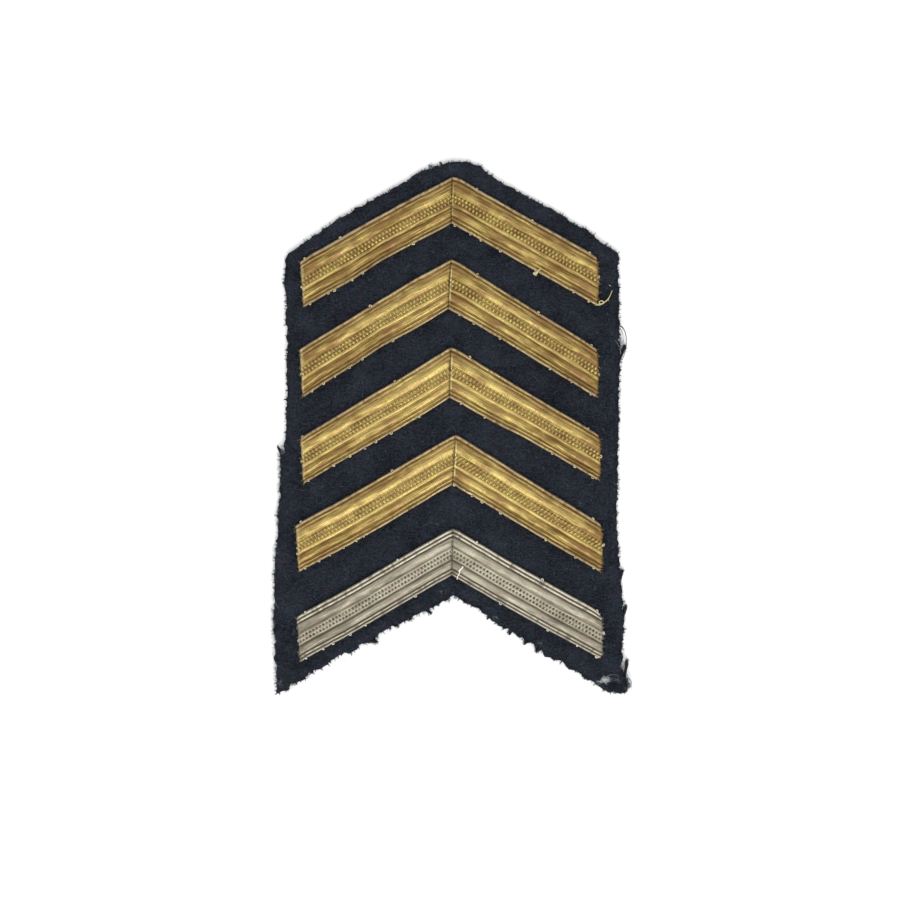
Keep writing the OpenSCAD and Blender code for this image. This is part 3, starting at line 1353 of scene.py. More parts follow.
    def read(self, nodes: Nodes) -> None:
        """Reads the ends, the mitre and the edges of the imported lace.

        Args:
            nodes: The frame's nodes.
        """
        points = PackedSolid(nodes[self.node]).points
        peak = points[points[:, 1].argmax()]
        self.left, self.seam, self.right = points[:, 0].min(), peak[0], points[:, 0].max()
        self.stations = np.array([self.left, self.seam, self.right])
        beside = [points[np.abs(points[:, 0] - x) < 0.02 * MM, 1] for x in self.stations]
        self.highs = np.array([ys.max() for ys in beside])
        self.lows = np.array([ys.min() for ys in beside])
        self.sway = Mottle(7 * MM, self.seed)
        self.ripple = Mottle(1.6 * MM, self.seed + 50)
        self.streaks = Mottle(1.1 * MM, self.seed + 100)

    def by_arm(self, x: Array, pair: Sequence[float | Array]) -> Array:
        """Returns the first of a pair on the left arm, and the second one on the right arm."""
        return np.where(x < self.seam, *pair)

    def to_end(self, x: Array) -> Array:
        """Returns the distance across the patch to the nearer end."""
        return np.minimum(x - self.left, self.right - x)

    def upper(self, x: Array) -> Array:
        """Returns the upper edge's height on the patch, blunt at the peak."""
        blunted = self.peak_drop * bell(x - self.seam, self.peak_reach)
        return np.interp(x, self.stations, self.highs) - blunted

    def lower(self, x: Array) -> Array:
        """Returns the lower edge's height on the patch."""
        return np.interp(x, self.stations, self.lows)

    def covers(self, x: Array, y: Array, margin: float) -> Array:
        """Returns which plan places lie under the lace or within a margin of it."""
        beside = (x > self.left - margin) & (x < self.right + margin)
        return beside & (y < self.upper(x) + margin) & (y > self.lower(x) - margin)

    def tacked(self, x: Array, across: Array, steep: float) -> tuple[Array, Array]:
        """Works out how much the tacks are felt.

        Args:
            x: Places across the patch.
            across: Shares of the width from the upper edge.
            steep: How fast a tack is felt less away from its edge.

        Returns:
            How much the tacks on the lower edge and those on the upper one are felt at each place.
        """
        lower = sum(bell(x - place * MM, self.tack_reach) for place in self.tacks.lower)
        upper = sum(bell(x - place * MM, self.tack_reach) for place in self.tacks.upper)
        return across**steep * lower, (1 - across) ** steep * upper

    def edge_shift(self, x: Array, across: Array) -> Array:
        """Works out how far the lace strays up the patch from straight edges.

        Args:
            x: Places across the patch.
            across: Shares of the width from the upper edge.

        Returns:
            The shift at each place.
        """
        places, uppers, lowers = np.array(self.strays).T * MM
        upper, lower = np.interp(x, places, uppers), np.interp(x, places, lowers)
        sway, ripple = self.sway.at(x, across * 3 * MM), self.ripple.at(x, across * 2 * MM)
        low_tacks, high_tacks = self.tacked(x, across, 12)
        tug = self.tack_tug[0] * low_tacks - self.tack_tug[1] * high_tacks
        return upper + across * (lower - upper) + self.waviness * (sway + ripple) + tug

    def place(self, x: Array, across: Array) -> Array:
        """Places the lace on the plan.

        Args:
            x: Places across the patch before the mitre leans.
            across: Shares of the width from the upper edge.

        Returns:
            The plan places.
        """
        leant = self.lean * across * np.exp(-np.abs(x - self.seam) / self.lean_reach)
        to_end = self.to_end(x)
        on_left = x < self.seam
        cut = self.by_arm(x, [read_steps(across, steps) for steps in (self.left_cut, self.right_cut)])
        cut = (cut + self.cut_ripple * self.ripple.at(across * 30 * MM, on_left * MM)) * MM
        y = self.upper(x) - across * (self.upper(x) - self.lower(x)) + self.edge_shift(x, across)
        blunt = across**6 - on_left * (1 - across) ** 6
        y += self.corner_rise * blunt * np.exp(-to_end / self.corner_reach)
        return np.column_stack([x + leant + cut * np.exp(-to_end / self.cut_reach), y])

    def build(self) -> Piece:
        """Makes the lace.

        Returns:
            The piece.
        """
        mesh = slab(f"woven_{self.node}", self.columns, self.rows, self.cuts)
        places = read_out(mesh)
        upper = places[:, 2] > 0.5
        across = (1 - places[:, 1]) / 2
        x = np.interp(places[:, 0], (-1, 0, 1), self.stations)
        arm = self.by_arm(x, (0, 2))
        slope = (self.highs[1] - self.highs[arm]) / np.abs(self.stations[arm] - self.seam)
        stretch = np.sqrt(1 + slope**2)
        width = (self.upper(x) - self.lower(x)) / stretch
        along = (x - self.seam) * stretch + np.sign(x - self.seam) * across * width * slope
        slipped = self.by_arm(x, self.slip) * np.sin(math.pi * across) * np.clip(across * 2, 0, 1)
        wavy = along + self.wander * self.ripple.at(x, across * 9 * MM)
        weave, cord, polish_and_highlight = self.weave.relief(wavy, across + slipped, self.by_arm(x, self.knot_lean))
        rough = self.ripple.at(along * 4, across * 9 * MM)
        weave += self.wander * cord * rough
        fold = self.folds(x)
        edge = np.clip(np.minimum(across / self.edge_roll[0], (1 - across) / self.edge_roll[1]), 0, 1)
        pulled = 1 - self.tack_pull * sum(self.tacked(x, across, 10))
        rise = (self.shoulder + (weave - self.shoulder) * edge**0.5) * fold * pulled
        rise += self.sway_rise * self.sway.at(x * 1.7, across * 8 * MM)
        height = np.where(upper, self.base + rise, self.back)
        mesh.vertices.foreach_set("co", np.column_stack([self.place(x, across), height]).ravel())
        # Painted shade with dirt: darker where the weave lies low, where the lace dips into the folds at the
        # mitre and the ends, in the crevice left of the mitre and between the beads of the pale cord.
        lows = np.clip((self.groove_dark_level - weave) / self.groove_dark_depth, 0, 1) + 1.3 * np.clip(0.85 - fold, 0, 1)
        lows += self.crevice_shade(x, across) + cord * np.clip(-0.7 * rough - 0.1, 0, 0.5)
        carry(mesh, "polish_and_highlight", polish_and_highlight + self.brightness(x, along, across, across * width))
        carry(mesh, "grime_and_shade", np.clip(lows, 0, 1))
        carry(mesh, "cord", cord * (np.where(across < 0.5, self.rim, 0.55) + 0.25 * rough))
        # Wear with a painted highlight along the mitre's fold and the turned left end.
        carry(mesh, "fold", self.folded_edge(x, across))
        unroll(mesh, "weave", np.column_stack([along, across * width]))
        mesh.update()
        piece = dress(mesh, self.finish.material())
        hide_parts(self.node)
        return piece

    def folds(self, x: Array) -> Array:
        """Returns the height's share left by the turned-under ends and the mitre."""
        sides = [read_steps(np.abs(x - self.seam) / MM, side) for side in (self.mitre_left, self.mitre_right)]
        return self.by_arm(x, sides) * read_steps(self.to_end(x) / MM, self.end_fold)

    def folded_edge(self, x: Array, across: Array) -> Array:
        """Works out how pale each place is, by wear and a painted highlight, along the mitre's fold and the
        turned left end.

        Args:
            x: Places across the patch.
            across: Shares of the width from the upper edge.

        Returns:
            The paleness, from 0 to 1.
        """
        mitre = read_steps(across, self.fold_ends) * read_steps((x - self.seam) / MM, self.fold_sides)
        ragged = self.ripple.at(across * 40 * MM)
        turned = read_steps((x - self.left) / MM + 0.1 * ragged, self.turned_end)
        return np.maximum(self.shine * mitre * (0.8 + 0.3 * ragged), turned)

    def crevice_shade(self, x: Array, across: Array) -> Array:
        """Returns how much painted shade lies in the crevice on the left of the mitre."""
        beside = self.shine * bell((x - self.seam) / MM + 0.2, 0.14) * read_steps(across, self.crevice_shade_ends)
        return beside * (0.5 + 0.5 * self.ripple.at(across * 60 * MM, x * 4))

    def brightness(self, x: Array, along: Array, across: Array, down: Array) -> Array:
        """Works out how bright the wire is: polish and painted light along each arm, with painted shade where
        the right arm rises over the mitre's fold.

        Args:
            x: Places across the patch.
            along: Distances along the arm.
            across: Shares of the width from the upper edge.
            down: Distances from the upper edge.

        Returns:
            The polish with painted light and shade at each place.
        """
        beside = self.mitre_shade
        halfway = (self.left + self.seam) / 2, (self.right + self.seam) / 2
        stops = (self.left, halfway[0], self.seam - beside, self.seam + beside, halfway[1], self.right)
        # Tarnish and a painted light falloff along each arm, highest beside the mitre.
        bright = np.interp(x, stops, self.polish_and_highlight) * read_steps(across, self.cord_dulling)
        low = read_steps(across, self.low_side)
        patchy = 0.34 * self.streaks.at(along / 4, down) + 0.2 * self.streaks.at(along, down * 4)
        # Painted light on the band below the ridge, set for each arm.
        below = low * self.by_arm(x, self.low_band_light)
        # Painted shade on the right arm where it rises over the mitre's fold.
        shaded = 0.55 * (x > self.seam) * bell(x - self.seam, beside)
        return np.clip(bright + patchy * (1 - 0.35 * low) + below, 0, 1) - shaded


GOLD_LACES = (
    LaceChevron(
        node="gold_lace_1",
        tacks=Tacks(
            upper=(-22.2, -16.8, 3.8, 12.1, 20.9),
            lower=(-21.5, -18.7, -17.7, -15.1, -13.5, -5.7, 0.6, 2.9, 4.5, 7.3, 12.7, 18.3, 20.7),
            left_end=(0.56,),
            right_end=(0.41,),
        ),
        strays=(
            (-22, -0.05, -0.38), (-15, 0.13, -0.35), (-10.5, 0.15, 0.14), (-5, 0.08, -0.02),
            (-1, -0.12, -0.2), (1.5, 0.2, -0.2), (21, 0.2, -0.2),
        ),
        polish_and_highlight=(0.2, 0.15, 0.3, 0.4, 0.3, 0.2),
        low_band_light=(0.05, 0.1),
        slip=(0.0, 0.025),
        lean=-0.2 * MM,
        shine=0.45,
        seed=21,
    ),
    LaceChevron(
        node="gold_lace_2",
        tacks=Tacks(
            upper=(-12.4, 3.8, 13.0, 21.2),
            lower=(-21.2, -19.4, -17.7, -15.4, -13.5, -8.9, 1.4, 3.5, 7.3, 14.8, 18.1, 21.0),
            left_end=(0.5,),
            right_end=(0.5,),
        ),
        strays=(
            (-22, -0.05, -0.4), (-15, 0.05, -0.2), (-10.5, 0.15, 0.1), (-6, 0.2, -0.3), (-1, -0.1, -0.4),
            (1.5, 0.1, -0.45), (8, 0, -0.3), (21, 0.1, -0.2),
        ),
        polish_and_highlight=(0.35, 0.6, 0.9, 0.7, 0.5, 0.3),
        low_band_light=(-0.32, -0.2),
        rim=0.62,
        slip=(-0.008, 0.013),
        lean=-0.45 * MM,
        shine=1.0,
        seed=22,
    ),
    LaceChevron(
        node="gold_lace_3",
        tacks=Tacks(
            upper=(-22.4, -8.6, 2.7, 20.6),
            lower=(-21.8, -17.8, -15.4, -13.2, -11.5, -9.2, -4.8, 1.5, 5.0, 15.1, 18.6, 21.3),
            left_end=(0.5,),
            right_end=(0.45,),
        ),
        strays=(
            (-22, -0.05, 0), (-17, -0.05, -0.1), (-12, 0, -0.3), (-6, -0.15, -0.55), (1.5, 0.05, -0.5),
            (6, 0, -0.45), (11, -0.05, 0.05), (21, 0, 0.2),
        ),
        polish_and_highlight=(0.4, 0.8, 1.1, 0.85, 0.7, 0.2),
        low_band_light=(-0.2, -0.2),
        rim=0.65,
        slip=(-0.008, 0.005),
        lean=-0.25 * MM,
        shine=1.0,
        seed=23,
    ),
    LaceChevron(
        node="gold_lace_4",
        tacks=Tacks(
            upper=(-22.8, -9.1, 21.3),
            lower=(-22.2, -20.0, -18.4, -16.3, -14.4, -13.3, 0.8, 3.3, 4.8, 7.4, 14.2, 18.6, 21.5),
            left_end=(0.48, 0.6),
            right_end=(0.43,),
        ),
        strays=(
            (-22.5, 0.1, -0.03), (-16, -0.08, -0.35), (-11, -0.05, -0.36), (-2, 0, -0.17), (2, -0.03, -0.4),
            (9, -0.02, -0.3), (15, 0.06, -0.13), (21.5, 0.25, 0.25),
        ),
        polish_and_highlight=(0.5, 0.8, 0.95, 0.9, 0.7, 0.25),
        low_band_light=(-0.3, -0.2),
        rim=0.66,
        knot_lean=(-0.04 * MM, 0.1 * MM),
        lean=-0.45 * MM,
        shine=1.0,
        seed=24,
    ),
)
SILVER_CHEVRON = LaceChevron(
    node="silver_lace",
    weave=SILVER_WEAVE,
    finish=SILVER,
    slot=Slot.SILVER_LACE,
    tacks=Tacks(
        upper=(-22.1, -8.2, 3.8, 13.6, 22.1),
        lower=(-22.1, -19.4, -18.0, -15.4, -13.0, -5.4, 7.4, 14.4, 18.9, 21.9),
        left_end=(0.52,),
        right_end=(0.41,),
        tint=0.95,
    ),
    strays=(
        (-22, 0.3, 0.2), (-16, 0.1, -0.05), (-2, 0.1, -0.05), (2, 0, -0.25), (8, -0.1, -0.3),
        (14, 0.05, -0.1), (21.5, 0.25, 0.2),
    ),
    polish_and_highlight=(0.3, 0.6, 0.7, 0.85, 0.7, 0.3),
    low_band_light=(-0.15, -0.1),
    slip=(-0.006, -0.016),
    lean=-0.2 * MM,
    shine=0.3,
    seed=25,
)


def curved(root: Array, heading: Array, length: Array, rings: int, bend: Array, lift: Array) -> Array:
    """Makes bowed paths.

    Args:
        root: Where each path starts.
        heading: Its direction in plan, in radians.
        length: Its length.
        rings: Points on each path.
        bend: How far it turns sideways along its length, in radians.
        lift: How steeply it rises at its start and falls at its end, in radians.

    Returns:
        Path, point and coordinate.
    """
    share = np.linspace(0, 1, rings)[None, :]
    turn = heading[:, None] + bend[:, None] * share
    climb = lift[:, None] * (1 - 1.6 * share)
    step = (length / (rings - 1))[:, None]
    moves = np.stack([np.cos(turn) * np.cos(climb), np.sin(turn) * np.cos(climb), np.sin(climb)], axis=-1)
    moves *= step[..., None]
    start = np.zeros((len(root), 1, 3))
    return root[:, None] + np.concatenate([start, np.cumsum(moves[:, :-1], axis=1)], axis=1)


@dataclass
class StrandWork:
    """A piece that is made of many strands.

    Attributes:
        cloth: The cloth under it.
        laces: The laces that it belongs to or lies among.
        name: Its name.
        seed: Seed of its looseness.
        finish: What the strands are made of.
        slot: The record's slot for them; not used.
        sides: Sides of each strand.
        taper: Thickness of a strand's tip, as a share of its root.
        inset: How far inside the cut the cloth's heights are read.
        buried: How far a fibre's root lies inside the cut.
    """

    cloth: BackingCloth
    laces: Sequence[LaceChevron]
    name: str = "strands"
    seed: int = 0
    finish: StrandFinish = WOOL_FIBRE
    slot: Slot = Slot.NAVY_WOOL
    sides: int = 3
    taper: float = 0.35
    inset: ClassVar[float] = 0.25 * MM
    buried: ClassVar[float] = 0.12 * MM

    def __post_init__(self) -> None:
        """Starts its strands and its seeded draws."""
        self.rng = np.random.default_rng(self.seed)
        self.strands = Strands(self.name, self.sides, self.taper)

    def lay(self) -> None:
        """Lays the strands, which each kind of work does in its own way."""
        raise NotImplementedError

    def build(self) -> Piece:
        """Returns the piece that its strands make."""
        self.lay()
        return dress(self.strands.mesh(), self.finish.material())

    def anyhow(self, root: Array, length: Pair, rings: int, bend: float, lift: Pair) -> Array:
        """Makes bowed paths that head anywhere.

        Args:
            root: Where each path starts.
            length: Shortest and longest length in millimetres.
            rings: Points on each path.
            bend: How far a path turns at most, in radians.
            lift: How steeply it rises at least and at most, in radians.

        Returns:
            Path, point and coordinate.
        """
        n, rng = len(root), self.rng
        heading, reach = rng.uniform(0, 2 * math.pi, n), rng.uniform(*length, n) * MM
        return curved(root, heading, reach, rings, rng.uniform(-bend, bend, n), rng.uniform(*lift, n))

    def root_in_cut(self, way: Array) -> tuple[Array, Array]:
        """Roots fibres in the cut.

        Args:
            way: Ways along the cut.

        Returns:
            The roots and the outward headings.
        """
        solid, plan, out = self.cloth.solid, self.cloth.edge.at(way), self.cloth.edge.outward(way)
        inner = plan - out * self.inset
        base = solid.heights(inner[:, 0], inner[:, 1], down=False)
        rim = solid.heights(inner[:, 0], inner[:, 1])
        z = base + (rim - base) * self.rng.uniform(0.08, 1.0, len(way))
        return np.column_stack([plan - out * self.buried, z]), np.arctan2(out[:, 1], out[:, 0])


@dataclass
class Nap(StrandWork):
    """The short fibres that lie on the face of the cloth, with pale lint among them.

    Attributes:
        count: Fibres on the face.
        lint_count: Pale hairs and specks.
        radius: Radius of a fibre.
        length: Shortest and longest fibre in millimetres.
        lint_length: The same for lint.
        sunk: How deep a fibre's root lies in the face.
    """

    name: str = "wool_nap"
    seed: int = 31
    count: int = 6500
    lint_count: int = 40
    radius: float = 0.028 * MM
    length: Pair = (0.3, 0.85)
    lint_length: Pair = (0.2, 1.0)
    sunk: float = 0.03 * MM

    def lay(self) -> None:
        """Scatters fibres over the bare cloth, and lint among them."""
        rng, edge = self.rng, self.cloth.edge
        drawn = rng.uniform(edge.loop.min(axis=0), edge.loop.max(axis=0), (self.count * 4, 2))
        x, y = drawn.T
        way, _, out = edge.nearest(x, y)
        inside = np.einsum("nk,nk->n", drawn - edge.foot(way), out) < -0.2 * MM
        bare = inside & ~np.any([lace.covers(x, y, 0.05 * MM) for lace in self.laces], axis=0)
        plan = drawn[bare][: self.count]
        roots = np.column_stack([plan, self.cloth.top(plan[:, 0], plan[:, 1]) - self.sunk])
        n = len(roots)
        fibres = self.anyhow(roots, self.length, 4, 1.6, (0.1, 0.6))
        self.strands.lay(fibres, self.radius * rng.uniform(0.7, 1.3, n), 0.58 * rng.random(n) ** 1.8)
        lint = roots[rng.choice(n, self.lint_count, replace=False)] + (0, 0, 2 * self.sunk)
        hairs = self.anyhow(lint, self.lint_length, 7, 3, (0.0, 0.2))
        self.strands.lay(hairs, 0.7 * self.radius, rng.uniform(0.5, 0.7, self.lint_count))


@dataclass(frozen=True)
class Tuft:
    """A clump of fibres that hangs loose from the cut.

    Attributes:
        x: Its root across the patch, in millimetres.
        y: Its root up the patch.
        heading: Its direction in degrees, anticlockwise from the right.
        length: Its length in millimetres.
        spread: How wide its root is, in millimetres.
        count: Its fibres.
        tint: Tint of the fibres.
        curl: How far a fibre turns along its length, in radians.
    """

    x: float
    y: float
    heading: float
    length: float
    spread: float
    count: int
    tint: float = 0.1
    curl: float = 0.5


TUFTS = (
    Tuft(-12.1, -32.3, -30, 1.2, 0.5, 60),
    Tuft(-8.8, -29.9, -25, 1.0, 0.4, 50),
    Tuft(-3.9, -27.7, -35, 1.0, 0.4, 50),
    Tuft(1.7, -26.7, -80, 0.7, 0.4, 40),
    Tuft(6.0, -28.2, -130, 0.8, 0.4, 40, 0.2),
    Tuft(8.8, -31.0, -120, 0.9, 0.4, 50),
    Tuft(11.3, -32.2, -120, 0.7, 0.4, 40),
    Tuft(13.0, -33.4, -110, 0.9, 0.5, 50),
    Tuft(-25.7, -4.0, 113, 1.5, 0.45, 80, 0.05, 0.1),
    Tuft(25.7, -23.6, 75, 2.1, 0.45, 130, 0.3, 0.12),
    Tuft(26.3, -29.1, 76, 2.15, 0.5, 140, 0.3, 0.12),
    Tuft(26.05, -29.0, 82, 1.7, 0.5, 120, 0.2, 0.1),
    Tuft(26.2, -38.0, 84, 2.9, 0.35, 120, 0.3, 0.12),
    Tuft(25.5, 9.9, 70, 2.7, 0.5, 130, 0.25, 0.15),
    Tuft(-3.0, 39.0, 120, 0.8, 0.5, 50, 0.6),
    Tuft(-1.6, 39.4, 100, 0.7, 0.3, 25, 0.2),
    Tuft(25.6, 12.8, 60, 1.0, 1.6, 60, 0.92, 1.6),
)


@dataclass(frozen=True)
class FuzzyStretch:
    """A stretch of the cut where pale fluff clings.

    Attributes:
        low: Lower left corner of the box that holds it, in millimetres.
        high: Upper right corner.
        density: Fibres for each millimetre of the cut.
        reach: Length of the longest fibre, in millimetres.
    """

    low: Pair
    high: Pair
    density: float
    reach: float


FLUFFY = (
    FuzzyStretch((-28, -39), (-24, -3), 24, 1.3),
    FuzzyStretch((-27, -3), (-23, 25), 8, 0.7),
    FuzzyStretch((-25, 24), (-3, 42), 3, 0.5),
    FuzzyStretch((-3, 38), (6, 42), 18, 0.8),
    FuzzyStretch((6, 24), (26, 40), 4, 0.5),
    FuzzyStretch((24, -38), (28, 24), 5, 0.6),
    FuzzyStretch((-25, -40), (25, -24), 5, 0.6),
)


@dataclass(frozen=True)
class FibreLoop:
    """One long fibre that bows out of the cut and back into it.

    Attributes:
        route: Its places in millimetres.
        radius: Its radius in millimetres.
        tint: Its tint.
    """

    route: Places
    radius: float
    tint: float

    def lay(self, strands: Strands) -> None:
        """Adds the fibre, rounded at its bends.

        Args:
            strands: Where it goes.
        """
        route = np.array(self.route) * MM
        path = follow(np.linspace(0, 1, 5 * len(route)), np.linspace(0, 1, len(route)), route)
        for _ in range(3):
            path[1:-1] = (path[:-2] + 2 * path[1:-1] + path[2:]) / 4
        strands.lay(path[None], self.radius * MM, self.tint)


FIBRE_LOOPS = (
    FibreLoop(
        (
            (25.4, 15.3, 1.2), (25.8, 15.1, 1.2), (26.2, 14.5, 1.1), (26.4, 13.5, 1.0), (26.4, 12.4, 0.9),
            (26.2, 11.2, 0.8), (25.8, 10.2, 0.8),
        ),
        0.1,
        0.15,
    ),
    FibreLoop(((25.4, 15.2, 0.9), (25.9, 14.2, 0.8), (26.05, 12.7, 0.6), (25.6, 11.4, 0.7)), 0.04, 0.75),
    FibreLoop(((25.4, 12.0, 1.0), (25.9, 12.6, 0.8), (26.0, 13.6, 0.8), (25.5, 14.8, 1.0)), 0.03, 0.85),
    FibreLoop(
        ((0.9, -12.9, 1.85), (1.8, -12.1, 1.95), (2.9, -12.5, 1.95), (3.4, -13.6, 1.95), (2.8, -14.5, 1.85)),
        0.02,
        0.55,
    ),
    FibreLoop(
        ((25.9, -37.9, 1.7), (26.8, -38.0, 1.7), (27.2, -38.7, 1.4), (27.0, -39.5, 1.1), (26.4, -39.8, 1.3)),
        0.05,
        0.62,
    ),
    FibreLoop(((25.8, -38.4, 1.9), (26.6, -38.4, 1.9), (26.9, -39.0, 1.6), (26.5, -39.6, 1.4)), 0.045, 0.66),
    FibreLoop(((22.9, -37.9, 2.1), (23.8, -37.4, 2.2), (24.9, -37.4, 2.2), (25.8, -37.9, 2.0)), 0.05, 0.66),
)


@dataclass
class Fringe(StrandWork):
    """The locks of fibres that stand out of the cut, and its loose tufts.

    Attributes:
        spacing: Way along the cut from lock to lock.
        fibres: Fibres in a lock.
        spread: Half width of a lock at its root.
        radius: Radius of a fibre.
    """

    name: str = "cut_edge_locks"
    seed: int = 41
    spacing: float = 0.22 * MM
    fibres: int = 8
    spread: float = 0.14 * MM
    radius: float = 0.032 * MM

    def lay(self) -> None:
        """Lays the locks, the tufts and the loops."""
        self.locks()
        for tuft in TUFTS:
            self.clump(tuft)
        for loop in FIBRE_LOOPS:
            loop.lay(self.strands)

    def locks(self) -> None:
        """Lays short locks all along the cut, longer along the foot."""
        rng, edge = self.rng, self.cloth.edge
        count = int(edge.total / self.spacing)
        way = rng.uniform(0, edge.total, count)
        down = np.clip(-edge.outward(way)[:, 1] * 2, 0, 1)
        reach = (0.08 + (0.36 + 0.16 * down) * rng.random(count) ** 2) * MM
        lean, bend = rng.normal(0, 0.5, count), rng.normal(0, 1.0, count)
        n = count * self.fibres
        every = np.repeat(np.arange(count), self.fibres)
        apart = rng.uniform(-1, 1, n)
        root, heading = self.root_in_cut(way[every] + apart * self.spread)
        heading = heading + lean[every] - 0.45 * apart
        length = reach[every] * (0.5 + 1.1 * rng.random(n) ** 2) + 0.12 * MM
        bend = bend[every] + rng.normal(0, 0.5, n)
        paths = curved(root, heading, length, 3, bend, rng.uniform(-0.2, 0.3, n))
        self.strands.lay(paths, self.radius * rng.uniform(0.8, 1.3, n), rng.uniform(0.0, 0.4, n))

    def clump(self, tuft: Tuft) -> None:
        """Lays one loose tuft.

        Args:
            tuft: The tuft.
        """
        n, rng = tuft.count, self.rng
        way = self.cloth.edge.nearest(np.array([tuft.x * MM]), np.array([tuft.y * MM]))[0]
        root, _ = self.root_in_cut(way + rng.normal(0, tuft.spread / 2, n) * MM)
        turn = math.radians(tuft.heading)
        tip = root.mean(axis=0)[:2] + tuft.length * MM * np.array((math.cos(turn), math.sin(turn)))
        towards = tip - root[:, :2]
        heading = np.arctan2(towards[:, 1], towards[:, 0]) + rng.normal(0, 0.3 * tuft.curl, n)
        length = np.linalg.norm(towards, axis=1) * rng.uniform(0.7, 1.08, n)
        paths = curved(root, heading, length, 6, rng.normal(0, tuft.curl, n), rng.uniform(-0.2, 0.2, n))
        self.strands.lay(paths, 1.2 * self.radius, np.clip(tuft.tint + rng.normal(0, 0.1, n), 0, 1))


@dataclass
class Fluff(StrandWork):
    """The pale fluff that clings to stretches of the cut.

    Attributes:
        radius: Radius of a fibre.
        step: Way along the cut from one place that is tried to the next.
    """

    name: str = "pale_fluff"
    seed: int = 42
    radius: float = 0.015 * MM
    step: float = 0.02 * MM

    def lay(self) -> None:
        """Lays the fluff of every stretch."""
        rng, edge = self.rng, self.cloth.edge
        ways = np.arange(0, edge.total, self.step)
        plan = edge.at(ways) / MM
        for stretch in FLUFFY:
            held = np.all((plan > stretch.low) & (plan < stretch.high), axis=1)
            n = int(held.sum() * self.step / MM * stretch.density)
            root, heading = self.root_in_cut(rng.choice(ways[held], n))
            length = (0.25 + (stretch.reach - 0.25) * rng.random(n) ** 1.5) * MM
            heading = heading + rng.normal(0, 0.8, n)
            paths = curved(root, heading, length, 5, rng.uniform(-2, 2, n), rng.uniform(-0.2, 0.3, n))
            self.strands.lay(paths, self.radius, rng.uniform(0.6, 1.0, n))


@dataclass(frozen=True)
class Mat:
    """A corner of the cloth that wear has felted into a lump of curled fibres.

    Attributes:
        centre: Its middle in plan, in millimetres.
        reach: Its half width each way, in millimetres.
        rise: How high its fibres ride over the cloth, in millimetres.
        length: Lengths of its shortest and longest fibre, in millimetres.
        count: Its fibres.
        turn: How far a fibre curls, in radians.
        tints: Its darkest and palest tint.
    """

    centre: Pair
    reach: Pair
    rise: float
    length: Pair
    count: int
    turn: float
    tints: Pair


@dataclass
class MattedCorners(StrandWork):
    """The two worn lower corners, with lint on them, along the foot and on the right side.

    Attributes:
        mats: The corners and the patches of lint.
        radius: Radius of a fibre.
    """

    name: str = "matted_corners"
    seed: int = 51
    mats: tuple[Mat, ...] = (
        Mat((24.9, -38.7), (1.9, 1.2), 0.5, (0.9, 1.7), 460, 7.0, (0.0, 0.45)),
        Mat((24.6, -38.2), (1.5, 0.6), 0.7, (0.6, 1.4), 40, 5.0, (0.5, 0.65)),
        Mat((26.4, -38.9), (0.6, 0.9), 0.6, (0.9, 1.8), 16, 6.0, (0.5, 0.62)),
        Mat((23.3, -38.2), (0.5, 0.3), 0.8, (0.5, 1.0), 52, 4.0, (0.9, 1.0)),
        Mat((22.7, -38.5), (0.4, 0.25), 0.8, (0.5, 0.9), 34, 4.0, (0.9, 1.0)),
        Mat((-24.8, -38.4), (1.3, 0.8), 0.25, (0.6, 1.2), 160, 6.0, (0.1, 0.5)),
        Mat((-25.6, -38.9), (0.8, 0.8), 0.2, (0.7, 1.3), 40, 5.0, (0.5, 0.62)),
        Mat((24.5, -8.6), (0.6, 1.4), 0.2, (0.6, 1.2), 40, 4.0, (0.3, 0.62)),
        Mat((6.5, -28.7), (0.7, 0.35), 0.2, (0.4, 0.9), 30, 4.0, (0.5, 0.68)),
        Mat((13.3, -32.7), (0.6, 0.35), 0.2, (0.4, 0.9), 24, 4.0, (0.5, 0.66)),
        Mat((-1.5, -24.9), (0.7, 0.35), 0.2, (0.4, 0.9), 24, 4.0, (0.5, 0.64)),
    )
    radius: float = 0.032 * MM

    def lay(self) -> None:
        """Lays the curled fibres of every mat under a low dome."""
        for mat in self.mats:
            n, rng = mat.count, self.rng
            angle, out = rng.uniform(0, 2 * math.pi, n), np.sqrt(rng.random(n))
            x = (mat.centre[0] + mat.reach[0] * out * np.cos(angle)) * MM
            y = (mat.centre[1] + mat.reach[1] * out * np.sin(angle)) * MM
            dome = np.sqrt(np.clip(1 - out**2, 0, 1))
            rise = (mat.rise * dome * rng.random(n) - 0.1 - 0.5 * out**4) * MM
            root = np.column_stack([x, y, self.cloth.solid.heights(x, y) + rise])
            length = rng.uniform(*mat.length, n) * MM
            turn = rng.choice((-1, 1), n) * rng.uniform(0.6, 1.0, n) * mat.turn
            paths = curved(root, rng.uniform(0, 2 * math.pi, n), length, 10, turn, rng.uniform(-0.2, 0.2, n))
            self.strands.lay(paths, self.radius * rng.uniform(0.7, 1.2, n), rng.uniform(*mat.tints, n))


